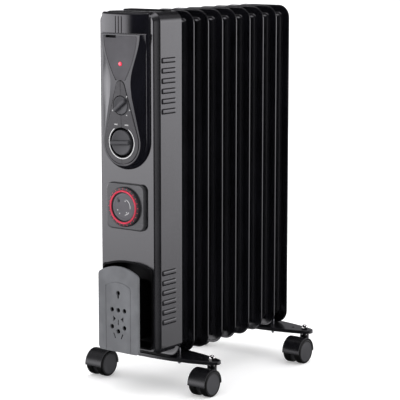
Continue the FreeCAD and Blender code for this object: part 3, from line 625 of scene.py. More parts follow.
def row_tree():
    """Copies of a shape in a straight row: their number, first place, step and turn are inputs."""
    tree = bpy.data.node_groups.new("copies in a row", "GeometryNodeTree")
    face = tree.interface
    for name, kind in (("Geometry", "Geometry"), ("Count", "Int"), ("Start", "Vector"), ("Step", "Vector"),
                       ("Turn", "Rotation"), ("Material", "Material")):
        face.new_socket(name, in_out="INPUT", socket_type="NodeSocket" + kind)
    face.new_socket("Geometry", in_out="OUTPUT", socket_type="NodeSocketGeometry")
    graph = Graph(tree)
    given = graph.inputs()
    line = graph.add("GeometryNodeMeshLine", {"mode": "OFFSET"},
                     **{"Count": given["Count"], "Start Location": given["Start"], "Offset": given["Step"]})
    copies = graph.add("GeometryNodeInstanceOnPoints", {}, Points=line, Instance=given["Geometry"],
                       Rotation=given["Turn"])
    finish_tree(graph, copies, given["Material"])
    return tree


def finish_tree(graph, shape, material):
    """Ends a tree: copies made real, and the finish set."""
    real = graph.add("GeometryNodeRealizeInstances", {}, Geometry=shape)
    done = graph.add("GeometryNodeSetMaterial", {}, Geometry=real, Material=material)
    out = graph.tree.nodes.new("NodeGroupOutput")
    graph.tree.links.new(done.socket, out.inputs[0])


def grow(mesh, tree, name, **given):
    """Runs a node tree on a mesh, with its inputs set by identifier, and returns a plain mesh."""
    obj = scratch_object(mesh)
    grower = obj.modifiers.new("grow", "NODES")
    grower.node_group = tree
    for item in tree.interface.items_tree:
        if item.in_out == "INPUT" and item.name in given:
            grower[item.identifier] = given[item.name]
    return evaluated_mesh(obj, name)


def make_fins():
    """Every fin of the row as one piece."""
    first = middle(FIN_NAMES[0]).y
    pitch = (middle(FIN_NAMES[-1]).y - first) / (len(FIN_NAMES) - 1)
    mesh = grow(fin_skin(), row_tree(), "fins", Count=len(FIN_NAMES), Start=(0.0, first, 0.0),
                Step=(0.0, pitch, 0.0), Turn=(0.0, 0.0, 0.0), Material=FINISHES["fin_enamel"])
    piece("fins", mesh, FINISHES["fin_enamel"], "body", FIN_NAMES, angle=50.0)


# ------------------------------------------------------------------ housing
def block(skin, low, high):
    """A closed box, to cut with."""
    face = ((low[0], low[2]), (high[0], low[2]), (high[0], high[2]), (low[0], high[2]))
    skin.tube([at_y(face, low[1]), at_y(face, high[1])])
    return skin


def plug(skin, outline, front, back):
    """A closed prism between two y values, to cut with."""
    skin.tube([at_y(outline, back), at_y(outline, front)])
    return skin


def disc(cx, cz, radius, steps=48):
    """Circle in the XZ plane."""
    return sweep(cx, cz, radius, 0, 360 * (steps - 1) / steps, steps - 1)


def merged(name, meshes):
    """One mesh from several."""
    bm = bmesh.new()
    for mesh in meshes:
        bm.from_mesh(mesh)
    joined = bpy.data.meshes.new(name)
    bm.to_mesh(joined)
    bm.free()
    return joined


def bay_outline(grow):
    """Mouth of the cord bay, grown by a distance all round."""
    low, high = span("bay_liner")
    rim = BAY_RIM
    half, rise = high.x - rim, 11 * MM
    return arched(half + grow, low.z + rim - grow, high.z - rim - rise + grow, rise, 6 * MM + grow, 9 * MM)


# Width of the bay's rim, outside its mouth, and the number of louvres in a group.
BAY_RIM = 3.8 * MM
LOUVRES = 6

# The housing's front edge, from its side to its face: a flat chamfer with soft ends.
FRONT_EDGE = ((0.0, 1.0), (0.02, 0.985), (0.06, 0.955), (0.12, 0.90), (0.30, 0.72), (0.50, 0.50),
              (0.70, 0.28), (0.80, 0.16), (0.88, 0.08), (0.95, 0.025), (1.0, 0.0))


def housing_skin():
    """The housing's wall: its inner and outer faces, joined at the back edge and at the front."""
    s = sizes()
    half = HOUSING_HIGH.x - s.louvre_proud
    low, high, front, back = HOUSING_LOW.z, HOUSING_HIGH.z, HOUSING_LOW.y, HOUSING_HIGH.y

    def outline(inset):
        return rounded(half - inset, low + inset, high - inset, s.housing_bottom_round - inset,
                       s.housing_top_round - inset, 12)

    def turn(inset, face):
        return [at_y(outline(inset + s.housing_round * across), face + s.housing_round_depth * deep)
                for across, deep in FRONT_EDGE]

    inner = turn(s.sheet, front + s.sheet)
    outer = turn(0.0, front)
    skin = Skin()
    skin.tube(inner[::-1] + [at_y(outline(s.sheet), back), at_y(outline(0.0), back)] + outer)
    return skin.mesh("housing")


def make_housing():
    """The housing, open below behind the bay, with holes for the bay and the grip insert."""
    s = sizes()
    half = HOUSING_HIGH.x - s.louvre_proud - s.sheet
    tool = Skin()
    plug(tool, bay_outline(1.3 * MM), HOUSING_LOW.y - 0.01, HOUSING_LOW.y + 0.01)
    block(tool, (-half, middle("fin_1").y - s.fin_channel - 2 * MM, HOUSING_LOW.z - 0.01),
          (half, HOUSING_HIGH.y + 0.01, HOUSING_LOW.z + s.housing_bottom_round))
    low, high = span("grip_insert")
    block(tool, (low.x + 3 * MM, low.y + 3 * MM, HOUSING_HIGH.z - 0.01),
          (high.x - 3 * MM, high.y + 10 * MM, HOUSING_HIGH.z + 0.01))
    mesh = carve(housing_skin(), tool.mesh("cuts"))
    piece("housing", mesh, FINISHES["housing_enamel"], "body", ["shroud"], angle=40.0)
    make_louvres(HOUSING_HIGH.x - s.louvre_proud)


def louvre_skin():
    """One pressed louvre on a wall that faces +X: it swells towards its lower edge, which is open."""
    s = sizes()
    tall, long, proud = s.louvre_height, s.louvre_length, s.louvre_proud * 0.93
    stations = [0.0, 0.6, 1.4, 2.4, 3.6, 5.2, 8.0]
    places = [v * MM for v in stations] + [long - v * MM for v in reversed(stations)]
    rings = []
    for place in places:
        end = min(place, long - place)
        swell = math.sin(min(1.0, end / (3.6 * MM)) * math.pi / 2)
        drop = 1.6 * MM * (1 - min(1.0, end / (2.4 * MM))) ** 2
        rise = max(proud * swell, 0.03 * MM)
        section = [(-0.3 * MM, tall), (0.0, tall - drop)]
        for share, fall in ((0.3, 0.45), (0.62, 1.0), (0.86, 1.7), (0.97, 2.5), (1.0, 3.4)):
            section.append((rise * share, tall - drop - fall * MM))
        for share, lift in ((1.0, 3.0), (0.9, 2.0), (0.68, 1.1), (0.42, 0.4), (0.25, 0.3), (0.2, 3.0)):
            section.append((rise * share, drop + lift * MM))
        section += [(0.02 * MM, drop + 3 * MM), (0.02 * MM, drop), (-0.3 * MM, drop)]
        rings.append([(x, place - long / 2, z) for x, z in section])
    skin = Skin()
    skin.tube(rings)
    return skin.mesh("louvre")


def make_louvres(wall):
    """Two groups of louvres, high and low, on each side wall; wall is its distance from the middle."""
    s = sizes()
    tree = row_tree()
    along = (HOUSING_LOW.y + HOUSING_HIGH.y) / 2 - 0.5 * MM
    groups = []
    for side in (1, -1):
        low_group = HOUSING_LOW.z + 48 * MM + s.louvre_height + (LOUVRES - 1) * s.louvre_pitch
        for top in (HOUSING_HIGH.z - 74 * MM, low_group):
            groups.append(grow(louvre_skin(), tree, "louvres", Count=LOUVRES,
                               Start=(side * wall, along, top - s.louvre_height),
                               Step=(0.0, 0.0, -s.louvre_pitch),
                               Turn=(0.0, 0.0, 0.0 if side > 0 else math.pi),
                               Material=FINISHES["housing_enamel"]))
    piece("louvres", merged("louvres", groups), FINISHES["housing_enamel"], "body",
          angle=45.0)


# ------------------------------------------------------------------ console
POD_Z = middle("thermostat_knob").z
POWER_Z = middle("power_knob").z
PLATE_LOW, PLATE_HIGH = span("scale_plate")
PANEL_LOW, PANEL_HIGH = span("control_panel")
CONSOLE_LOW_FACE = HOUSING_LOW.y - 5 * MM
SKIRT_STEPS = 26
ROUND_STEPS = 16


def soft_max(a, b, reach):
    """The larger of two values, with a soft change from one to the other."""
    gap = max(reach - abs(a - b), 0.0) / reach
    return max(a, b) + gap * gap * reach / 4


def drop_half(z, z_big, r_big, z_small, r_small):
    """Half width of a teardrop at height z."""
    lean = (r_big - r_small) / (z_small - z_big)
    if z < z_big + r_big * lean:
        return math.sqrt(max(r_big ** 2 - (z - z_big) ** 2, 0.0))
    return (r_big - (z - z_big) * lean) / math.sqrt(1 - lean * lean)


def key_half(z):
    """Half width of the keystone at height z: it curves in from its top to its neck."""
    s = sizes()
    share = (s.key_top - z) / (s.key_top - s.key_neck)
    return s.key_top_half - (s.key_top_half - s.key_neck_half) * ease(share / 0.82)


def raised_half(z):
    """Half width of the raised part of the console at height z."""
    s = sizes()
    key = key_half(z) if z > s.key_neck else 0.0
    return soft_max(key, drop_half(z, POD_Z, s.pod_radius, POD_Z + 88 * MM, 21 * MM), 4 * MM)


def raised_front(z):
    """Front of the raised part of the console at height z."""
    s = sizes()
    pod, key = PLATE_LOW.y + 0.75 * MM, PANEL_LOW.y
    return pod + (key - pod) * ease((z - POD_Z) / (s.key_neck + 16 * MM - POD_Z))


def raised_ring(share, inset, lift):
    """Half ring, right side, from the top down and round: share 0 is the foot of the skirt, 1 its edge."""
    s = sizes()
    foot, base, found = s.skirt_half, CONSOLE_LOW_FACE, []
    foot_centre = POD_Z + 2 * MM
    for i in range(SKIRT_STEPS + 1):
        z = s.key_top + (foot_centre - s.key_top) * i / SKIRT_STEPS
        x = foot + (raised_half(z) - foot) * share
        sink = inset * 0.5 if i == 0 else 0.0
        found.append((x - inset, base + (raised_front(z) - base) * lift, z - sink))
    radius = foot + (s.pod_radius - foot) * share - inset
    centre = foot_centre + (POD_Z - foot_centre) * share
    face = base + (raised_front(POD_Z) - base) * lift
    for i in range(1, ROUND_STEPS + 1):
        angle = -math.pi / 2 * i / ROUND_STEPS
        found.append((radius * math.cos(angle), face, centre + radius * math.sin(angle)))
    return found


def whole_ring(half):
    """A half ring with its mirror image, as one closed ring."""
    return half + [(-x, y, z) for x, y, z in reversed(half[:-1])]


def skirt_skin():
    """The sloping skirt with the flat face inside it. Each step gives a share, an inset and a lift."""
    steps = [(0.0, 0.0, -0.06), (0.0, 0.0, 0.02), (0.25, 0.0, 0.30), (0.5, 0.0, 0.56), (0.75, 0.0, 0.78),
             (0.93, 0.0, 0.91), (1.0, 0.1 * MM, 0.955), (1.0, 0.45 * MM, 0.985), (1.0, 1.0 * MM, 1.0)]
    skin = Skin()
    rings = [skin.ring(whole_ring(raised_ring(*step))) for step in steps]
    for first, second in zip(rings, rings[1:]):
        skin.bridge(first, second)
    for ring in (rings[0], rings[-1]):
        count = len(ring)
        for i in range(count // 2):
            quad = [ring[i], ring[i + 1], ring[count - 2 - i], ring[count - 1 - i]]
            if quad[1] is quad[2]:
                quad.pop(2)
            skin.bm.faces.new(quad)
    return skin.mesh("skirt")


def console_outline(inset):
    """Outline of the console's base: square above, round below."""
    s = sizes()
    low, high = span("console")
    half = high.x - inset
    centre = low.z + high.x
    turn = s.console_top_round
    return (sweep(half - turn, high.z - inset - turn, turn, 0, 90, 8)
            + sweep(-half + turn, high.z - inset - turn, turn, 90, 90, 8)
            + sweep(0, centre, half, 180, 180, 40))


def panel_outline(grow):
    """Shield shape of the inner panel, in the XZ plane, from the upper right round to the upper left."""
    s = sizes()
    top, low = PANEL_HIGH.z + grow, PANEL_LOW.z + 1 * MM - grow
    narrowing, steps, right = s.panel_top_half - s.panel_low_half, 16, []
    for i in range(steps + 1):
        share = i / steps
        right.append((s.panel_top_half - narrowing * share ** 1.8 + grow, top + (low - top) * share))
    return right + [(-x, z) for x, z in reversed(right)]


def console_cuts(mesh):
    """Recesses for the knobs, the inner panel and the scale plate."""
    s = sizes()
    front = PANEL_LOW.y - 0.01
    knobs = Skin()
    for z, radius in ((POD_Z, s.thermostat_recess), (POWER_Z, s.power_recess)):
        plug(knobs, disc(0, z, radius), front, HOUSING_LOW.y - 3 * MM)
    panel = plug(Skin(), panel_outline(0.6 * MM), front, PANEL_LOW.y + 1.5 * MM)
    plate = plug(Skin(), plate_outline(-0.7 * MM), front, PLATE_HIGH.y + 0.4 * MM)
    for tool in (panel, plate, knobs):
        mesh = carve(mesh, tool.mesh("cuts"))
    return mesh


def plate_outline(inset):
    """Teardrop shape of the scale plate."""
    return teardrop(POD_Z, 36 * MM - inset, POD_Z + 93 * MM, 9 * MM - inset)


def cap_skin():
    """The cap over the keystone: it bulges forwards and has a rounded upper edge."""
    s = sizes()
    high = span("console")[1]
    half, foot, back, edge = high.x - 2.5 * MM, s.key_top + 1 * MM, CONSOLE_LOW_FACE + 1 * MM, 4 * MM
    steps, rings = 40, []
    for i in range(steps + 1):
        x = -half + 2 * half * i / steps
        front = CONSOLE_LOW_FACE - 0.4 * MM - s.cap_swell * (1 - (x / half) ** 2)
        corner = min(max(abs(x) - (half - edge), 0.0), edge)
        top = high.z - 0.6 * MM - (edge - math.sqrt(edge ** 2 - corner ** 2))
        section = [(back, foot), (front + 0.5 * MM, foot), (front, foot + 0.5 * MM)]
        reach = min(edge, back - front)
        section += [(front + reach * (1 - math.cos(a)), top - edge * (1 - math.sin(a)))
                    for a in [math.pi / 12 * k for k in range(7)]]
        rings.append([(x, y, z) for y, z in section + [(back, top)]])
    skin = Skin()
    skin.tube(rings)
    return skin.mesh("cap")


def groove_cuts():
    """Three grooves side by side in the cap."""
    s = sizes()
    tool = Skin()
    face = CONSOLE_LOW_FACE - s.cap_swell
    plug(tool, rounded(0.9 * MM, s.key_top - 2 * MM, s.key_top + 29 * MM, 0.8 * MM, 0.8 * MM, 3),
         face - 3 * MM, face + 1.6 * MM)
    return grow(tool.mesh("groove"), row_tree(), "grooves", Count=3, Start=(0.0, 0.0, 0.0),
                Step=(-6.5 * MM, 0.0, 0.0), Turn=(0.0, 0.0, 0.0), Material=FINISHES["console_plastic"])


def cap_slot():
    """Cutter for the slot under the cap, left of the middle."""
    top = sizes().key_top
    return block(Skin(), (-31 * MM, PANEL_LOW.y - 0.01, top - 6.5 * MM),
                 (-9 * MM, PANEL_LOW.y + 5 * MM, top - 2 * MM)).mesh("slot")


def make_console():
    base = pillow(Skin(), console_outline, CONSOLE_LOW_FACE, HOUSING_LOW.y + 0.1 * MM, 4 * MM).mesh("base")
    base = console_cuts(base)
    cap = carve(cap_skin(), groove_cuts())
    skirt = console_cuts(skirt_skin())
    skirt = carve(skirt, cap_slot())
    piece("console", merged("console", [base, skirt, cap]), FINISHES["console_plastic"], "body",
          ["console"], angle=32.0)
    panel = pillow(Skin(), lambda inset: panel_outline(-inset), PANEL_LOW.y, PANEL_LOW.y + 1.4 * MM,
                   0.4 * MM, 3)
    lens = plug(Skin(), disc(0, middle("lamp_lens").z, 3.7 * MM, 32), PANEL_LOW.y - 0.01, PANEL_LOW.y + 0.01)
    panel_mesh = carve(carve(panel.mesh("panel"), cap_slot()), lens.mesh("hole"))
    piece("control_panel", panel_mesh, FINISHES["panel_plastic"], "body", ["control_panel"],
          angle=35.0)
    make_scale_plate()


def console_wells(look):
    """Mask of the knob recesses and of the slot under the cap, which are matt."""
    across, away = look.x, []
    for z, radius in ((POD_Z, sizes().thermostat_recess), (POWER_Z, sizes().power_recess)):
        rise = look.z - z
        away.append((across * across + rise * rise).root() < radius + 0.2 * MM)
    slot = (abs(look.z - (sizes().key_top - 4.2 * MM)) < 2.6 * MM) * (abs(across) < 32 * MM)
    return away[0].high(away[1]).high(slot) * (look.y > PLATE_LOW.y + 2.2 * MM)


def make_scale_plate():
    """The scale plate, with its two wells and its middle line, bent to the slope of the console."""
    s = sizes()
    plate = pillow(Skin(), plate_outline, PLATE_LOW.y, PLATE_HIGH.y, 0.9 * MM, 4)
    tool = Skin()
    for z, radius in ((POD_Z, s.thermostat_recess), (POWER_Z, s.power_recess)):
        plug(tool, disc(0, z, radius), PLATE_LOW.y - 0.01, PLATE_HIGH.y + 0.01)
    mesh = carve(plate.mesh("plate"), tool.mesh("holes"))
    line = block(Skin(), (-0.35 * MM, PLATE_LOW.y - 0.01, POD_Z - 0.05),
                 (0.35 * MM, PLATE_LOW.y + 0.5 * MM, POD_Z + 0.12))
    mesh = carve(mesh, line.mesh("line"))
    face = raised_front(POD_Z)
    for vertex in mesh.vertices:
        vertex.co.y += raised_front(vertex.co.z) - face
    piece("scale_plate", mesh, FINISHES["scale_plastic"], "body", ["scale_plate"],
          angle=35.0)


def scale_marks(look):
    """Mask of the printed scales: a broken ring round the thermostat and dots round the power knob."""
    s = sizes()
    across, up = look.x, look.z - POD_Z
    away = (across * across + up * up).root()
    ring = (away > s.thermostat_recess + 1.0 * MM) * (away < s.thermostat_recess + 2.3 * MM)
    gap = (up > 21 * MM) * (abs(across) < 15 * MM)
    mask = ring * (1 - gap)
    rise = look.z - POWER_Z
    for angle in (48, 14, -20, -52, 208):
        spot_x = s.scale_radius * math.cos(math.radians(angle))
        spot_z = s.scale_radius * math.sin(math.radians(angle))
        dx, dz = across - spot_x, rise - spot_z
        mask = mask.high((dx * dx + dz * dz).root() < 0.9 * MM)
    for side, wide in ((-1, 3.2 * MM), (1, 3.8 * MM)):
        row = abs(up - 29.5 * MM) < 1.1 * MM
        column = abs(across - side * 11.5 * MM) < wide
        teeth = (across * (math.tau / (1.9 * MM))).wave() > -0.2
        mask = mask.high(row * column * teeth)
    return mask


# ------------------------------------------------------------------ knobs
def ribbed(skin, profile, cx, cz, teeth, depth, ends=True):
    """Turns (y, radius, rib share) points about a Y axis; ribs run round where the share is over 0."""
    valley = (0.0, 1.0, 1.0, 0.0)
    count = teeth * len(valley)
    made = []
    for y, radius, share in profile:
        points = []
        for i in range(count):
            angle = math.tau * i / count
            reach = radius - depth * share * valley[i % len(valley)]
            points.append((cx + reach * math.cos(angle), y, cz + reach * math.sin(angle)))
        made.append(points)
    skin.tube(made, ends)
    return skin


def turned_outline(outline, cx, cz, degrees):
    """An outline turned about its own middle and then moved."""
    turn = math.radians(degrees)
    return [(cx + x * math.cos(turn) - z * math.sin(turn), cz + x * math.sin(turn) + z * math.cos(turn))
            for x, z in outline]


def knob_skin(node, face, width, degrees, teeth):
    """Round knob with a ribbed side, a slightly hollow face and a grip bar across it."""
    low, high = span(node)
    spot = middle(node)
    radius = (high.x - low.x) / 2
    back = high.y - 1 * MM
    profile = [(back, radius - 0.8 * MM, 0.0), (back - 0.6 * MM, radius, 1.0), (face + 2.4 * MM, radius, 1.0),
               (face + 1.7 * MM, radius, 0.0)]
    profile += [(face + 1.5 * MM * (1 - math.sin(a)), radius - 1.5 * MM * (1 - math.cos(a)), 0.0)
                for a in [math.pi / 10 * i for i in range(1, 6)]]
    profile += [(face + 0.1 * MM, radius - 2.6 * MM, 0.0), (face + 0.5 * MM, radius * 0.6, 0.0),
                (face + 0.7 * MM, radius * 0.2, 0.0)]
    skin = ribbed(Skin(), profile, spot.x, spot.z, teeth, 0.25 * MM)

    def bar(inset):
        half = width / 2 - inset
        flat = rounded(radius - 0.4 * MM - inset, -half, half, half * 0.8, half * 0.8, 6)
        return turned_outline(flat, spot.x, spot.z, degrees)

    grip = pillow(Skin(), bar, low.y, face + 1 * MM, width * 0.3, 6)
    return skin.add(grip).mesh(node)


def make_knobs():
    s = sizes()
    for node, body, face, width, degrees, teeth in (
            ("thermostat_knob", "thermostat_control", s.thermostat_face, 8 * MM, 4.0, 48),
            ("power_knob", "power_control", s.power_face, 6.5 * MM, s.power_bar_angle, 36)):
        mesh = knob_skin(node, face, width, degrees, teeth)
        piece(node, mesh, FINISHES["knob_plastic"], body, [node], angle=38.0)


# ------------------------------------------------------------------ timer
TIMER = middle("timer_face")
DIAL_BORE = 24.1 * MM


def make_timer_block():
    low, high = span("timer_block")

    def block_outline(inset):
        radius = 11 * MM - inset
        return rounded(high.x - inset, low.z + inset, high.z - inset, radius, radius, 10)

    block_mesh = pillow(Skin(), block_outline, low.y, high.y + 0.1 * MM, 2.6 * MM, 6).mesh("timer_block")
    well = plug(Skin(), disc(TIMER.x, TIMER.z, DIAL_BORE), low.y - 0.01, high.y - 1 * MM).mesh("well")
    piece("timer_block", carve(block_mesh, well), FINISHES["timer_plastic"], "body",
          ["timer_block"], angle=35.0)


def make_timer_dial():
    """The turning ring: a ribbed rim, and a groove in its face for the tappets."""
    low, high = span("timer_dial")
    front, back, outer, groove = low.y, high.y, 33.5 * MM, low.y + 1.4 * MM
    profile = [(back, DIAL_BORE, 0.0), (back, outer - 0.5 * MM, 0.0), (back - 0.5 * MM, outer, 1.0),
               (front + 2.0 * MM, outer, 1.0), (front + 1.1 * MM, outer - 0.5 * MM, 0.6),
               (front + 0.4 * MM, outer - 1.3 * MM, 0.0), (front, outer - 2.2 * MM, 0.0),
               (front, 28.7 * MM, 0.0), (groove, 28.5 * MM, 0.0), (groove, 25.2 * MM, 0.0),
               (front, 25.0 * MM, 0.0), (front, 24.5 * MM, 0.0), (front + 0.3 * MM, DIAL_BORE, 0.0)]
    dial = ribbed(Skin(), profile, TIMER.x, TIMER.z, 72, 0.45 * MM, ends=False)
    piece("timer_dial", dial.mesh("timer_dial"), FINISHES["dial_plastic"], "timer_ring",
          ["timer_dial"], angle=35.0)


def make_timer_tappets():
    high = span("timer_tappets")[1]
    half = sizes().tappet_width / 2
    tappet = Skin()
    rings = []
    for near, far, wide, lift in ((25.4, 28.3, 1.0, 0.0), (25.4, 28.3, 1.0, 2.8), (25.8, 27.9, 0.6, 3.25)):
        rings.append([(near * MM, -half * wide, lift * MM), (far * MM, -half * wide, lift * MM),
                      (far * MM, half * wide, lift * MM), (near * MM, half * wide, lift * MM)])
    tappet.tube(rings)
    mesh = grow(tappet.mesh("tappet"), ring_tree(), "timer_tappets", Count=96,
                Centre=(TIMER.x, high.y, TIMER.z), Material=FINISHES["tappet_red"])
    piece("timer_tappets", mesh, FINISHES["tappet_red"], "timer_pins", ["timer_tappets"],
          angle=30.0)


def make_timer_face():
    """The fixed disc in the middle, with a slot for the mode switch."""
    front = span("timer_face")[0].y
    profile = [(front + 1.6 * MM, 23.6 * MM, 0.0), (front + 0.7 * MM, 23.6 * MM, 0.0),
               (front + 0.2 * MM, 23.3 * MM, 0.0), (front, 22.8 * MM, 0.0), (front, 19.2 * MM, 0.0),
               (front + 0.35 * MM, 18.9 * MM, 0.0), (front + 0.45 * MM, 9.0 * MM, 0.0),
               (front + 0.45 * MM, 2.0 * MM, 0.0)]
    face = ribbed(Skin(), profile, TIMER.x, TIMER.z, 24, 0.0).mesh("timer_face")
    spot = middle("timer_mode_slider")
    slot_low = spot.z + 1.5 * MM - 4.2 * MM
    flat = [(spot.x + x, z) for x, z in rounded(2.1 * MM, slot_low, slot_low + 8.4 * MM, 1 * MM, 1 * MM, 4)]
    slot = plug(Skin(), flat, front - 0.01, front + 1.2 * MM)
    piece("timer_face", carve(face, slot.mesh("slot")), FINISHES["face_plastic"], "body",
          ["timer_face"], angle=35.0)


def make_timer():
    make_timer_block()
    make_timer_dial()
    make_timer_tappets()
    make_timer_face()


def ring_tree():
    """Copies of a shape, made along +X, set in a ring that faces -Y."""
    tree = bpy.data.node_groups.new("copies in a ring", "GeometryNodeTree")
    face = tree.interface
    for name, kind in (("Geometry", "Geometry"), ("Count", "Int"), ("Centre", "Vector"),
                       ("Material", "Material")):
        face.new_socket(name, in_out="INPUT", socket_type="NodeSocket" + kind)
    face.new_socket("Geometry", in_out="OUTPUT", socket_type="NodeSocketGeometry")
    graph = Graph(tree)
    given = graph.inputs()
    points = graph.add("GeometryNodeMeshLine", {"mode": "OFFSET"}, Count=given["Count"], Offset=(0, 0, 0))
    angle = graph.add("GeometryNodeInputIndex") * math.tau / given["Count"]
    turn = graph.vector(0.0, 0.0, angle)
    copies = graph.add("GeometryNodeInstanceOnPoints", {}, Points=points, Instance=given["Geometry"],
                       Rotation=turn)
    placed = graph.add("GeometryNodeTransform", {}, Geometry=copies, Translation=given["Centre"],
                       Rotation=(math.pi / 2, 0.0, 0.0))
    finish_tree(graph, placed, given["Material"])
    return tree


def dial_marks(look):
    """Mask of the hour ticks on the dial's edge."""
    across, up = look.x - TIMER.x, look.z - TIMER.z
    away = (across * across + up * up).root()
    angle = look.graph.add("ShaderNodeMath", {"operation": "ARCTAN2"}, up, across) * (24 / math.tau)
    share = look.graph.add("ShaderNodeMath", {"operation": "FRACT"}, angle + 48.0)
    return (away > 29.6 * MM) * (away < 31.9 * MM) * (share < 0.13)


def face_marks(look):
    """Mask of a broken arc and four dots on the timer's face."""
    across, up = look.x - TIMER.x, look.z - TIMER.z
    away = (across * across + up * up).root()
    arc = (away > 13.2 * MM) * (away < 14.0 * MM) * (across > 2 * MM)
    mask = arc * ((up * 300.0).wave() > -0.6)
    for x, z in ((-13.0, -6.0), (-9.0, -11.5), (3.0, 10.0), (6.0, -9.0)):
        dx, dz = across - x * MM, up - z * MM
        mask = mask.high((dx * dx + dz * dz).root() < 0.9 * MM)
    return mask


# ------------------------------------------------------------------ cord bay
def make_bay():
    """The lining: a deep tray with a rounded rim that laps over the housing's face."""
    low, high = span("bay_liner")
    front, back = low.y, high.y
    lap = 0.8 * MM
    rings = [at_y(bay_outline(0.0), back - 1.2 * MM), at_y(bay_outline(0.0), front + lap)]
    rings += [at_y(bay_outline(lap * (1 - math.cos(a))), front + lap * (1 - math.sin(a)))
              for a in [math.pi / 8 * i for i in range(1, 5)]]
    rings += [at_y(bay_outline(BAY_RIM - lap + lap * math.sin(a)), front + lap * (1 - math.cos(a)))
              for a in [math.pi / 8 * i for i in range(5)]]
    rings += [at_y(bay_outline(BAY_RIM), front + 3.4 * MM), at_y(bay_outline(1.2 * MM), front + 3.4 * MM),
              at_y(bay_outline(1.2 * MM), back)]
    skin = Skin()
    skin.tube(rings)
    piece("bay_liner", skin.mesh("bay_liner"), FINISHES["bay_plastic"], "body", ["bay_liner"],
          angle=38.0)


# ------------------------------------------------------------------ casters
WHEEL_FACE = 17.2 * MM


def wheel_treads(look):
    """Mask of the dark treads round the paler faces of the wheels."""
    nearest = None
    for caster in CASTERS:
        axle = middle(caster + "_inner_wheel")
        along, up = look.y - axle.y, look.z - axle.z
        away = (along * along + up * up).root()
        nearest = nearest.low(away) if nearest else away
    return nearest.step(WHEEL_FACE, WHEEL_FACE + 0.6 * MM)


def make_casters():
    for caster in CASTERS:
        stem = middle(caster + "_hood").x
        for wheel in ("inner", "outer"):
            node = f"{caster}_{wheel}_wheel"
            low, high = span(node)
            spot = middle(node)
            radius = (high.z - low.z) / 2
            out = 1 if spot.x > stem else -1
            face, back = (high.x, low.x) if out > 0 else (low.x, high.x)
            wide = abs(face - back)
            profile = [(0.0, 4.0 * MM), (0.0, radius - 5 * MM), (0.3 * MM, radius - 1.2 * MM),
                       (1.3 * MM, radius - 0.2 * MM), (2.6 * MM, radius)]
            profile += [(wide - 3.0 * MM + 2.6 * MM * math.sin(a), radius - 2.6 * MM * (1 - math.cos(a)))
                        for a in [math.pi / 10 * i for i in range(6)]]
            profile += [(wide - 0.9 * MM, radius - 3.2 * MM), (wide - 0.9 * MM, radius - 3.7 * MM),
                        (wide - 0.5 * MM, radius - 4.2 * MM), (wide - 0.25 * MM, radius * 0.6),
                        (wide - 0.08 * MM, radius * 0.3), (wide, 1.5 * MM)]
            skin = lathe(Skin(), profile, (back, spot.y, spot.z), Vector((out, 0, 0)), 64)
            piece(node, skin.mesh(node), FINISHES["wheel_plastic"], f"{caster}_{wheel}",
                  [node], angle=32.0)


# ------------------------------------------------------------------ stage
AZIMUTH, ELEVATION = math.radians(37.24), math.radians(9.07)
CAMERA_PLACE = (1.76531, -2.30864, 0.76997)
LENS = 151.44


def make_camera():
    data = bpy.data.cameras.new("camera")
    data.lens, data.sensor_width = LENS, 36.0
    data.clip_start, data.clip_end = 0.1, 60.0
    camera = bpy.data.objects.new("camera", data)
    bpy.context.scene.collection.objects.link(camera)
    sight = Vector((-math.sin(AZIMUTH) * math.cos(ELEVATION), math.cos(AZIMUTH) * math.cos(ELEVATION),
                    -math.sin(ELEVATION)))
    camera.location = CAMERA_PLACE
    camera.rotation_euler = sight.to_track_quat("-Z", "Y").to_euler()
    bpy.context.scene.camera = camera


def make_world():
    """Studio round the object: two broad bright walls, a bright ceiling and dark gaps between."""
    world = bpy.data.worlds.new("studio")
    world.use_nodes = True
    world.node_tree.nodes.clear()
    graph = Graph(world.node_tree)
    way = Wire(graph, graph.add("ShaderNodeTexCoord").node.outputs["Generated"])
    x, y, z = graph.parts(way)
    flat = (x * x + y * y).root().high(0.0001)
    towards = (x * math.sin(AZIMUTH) - y * math.cos(AZIMUTH)) / flat
    along = (x * math.cos(AZIMUTH) + y * math.sin(AZIMUTH)) / flat
    walls = (1 - towards.step(0.29, 0.47)) * (0.15 + towards.step(-0.85, -0.5) * 0.85)
    wall_height = z.step(-0.42, 0.02) * (1 - z.step(0.06, 0.42) * 0.9)
    ceiling = z.step(0.8, 0.97)
    light = 0.012 + walls * wall_height * (2.95 - along * 0.8) + ceiling * 1.6
    ambient = 1.4
    rays = graph.add("ShaderNodeLightPath").node.outputs
    seen = Wire(graph, rays["Is Camera Ray"])
    diffuse = Wire(graph, rays["Is Diffuse Ray"])
    strength = light * (1 - diffuse) + diffuse * ambient
    strength = strength * (1 - seen) + seen * 1.0
    tree = world.node_tree
    sky = tree.nodes.new("ShaderNodeBackground")
    graph.feed(sky.inputs[0], graph.mix(seen.high(diffuse), (0.965, 0.95, 1.0, 1), (1, 1, 1, 1)))
    graph.feed(sky.inputs[1], strength)
    out = tree.nodes.new("ShaderNodeOutputWorld")
    tree.links.new(sky.outputs[0], out.inputs[0])
    bpy.context.scene.world = world


def make_floor():
    skin = Skin()
    reach = 14.0
    skin.cap(skin.ring([(-reach, -reach, 0), (reach, -reach, 0), (reach, reach, 0), (-reach, reach, 0)]))
    floor = scratch_object(skin.mesh("floor"))
    look = Finish("pale_floor", Roughness=0.9, Specular_IOR_Level=0.1, Emission_Strength=0.22)
    look.set("Emission Color", (1.0, 1.0, 1.0, 1.0))
    patch = look.graph.noise(look.place, 1.2, 2.0)
    look.set("Base Color", look.graph.mix(patch, (0.93, 0.93, 0.93, 1), (0.95, 0.95, 0.95, 1)))
    floor.data.materials.append(look.material)
    floor.visible_glossy = False


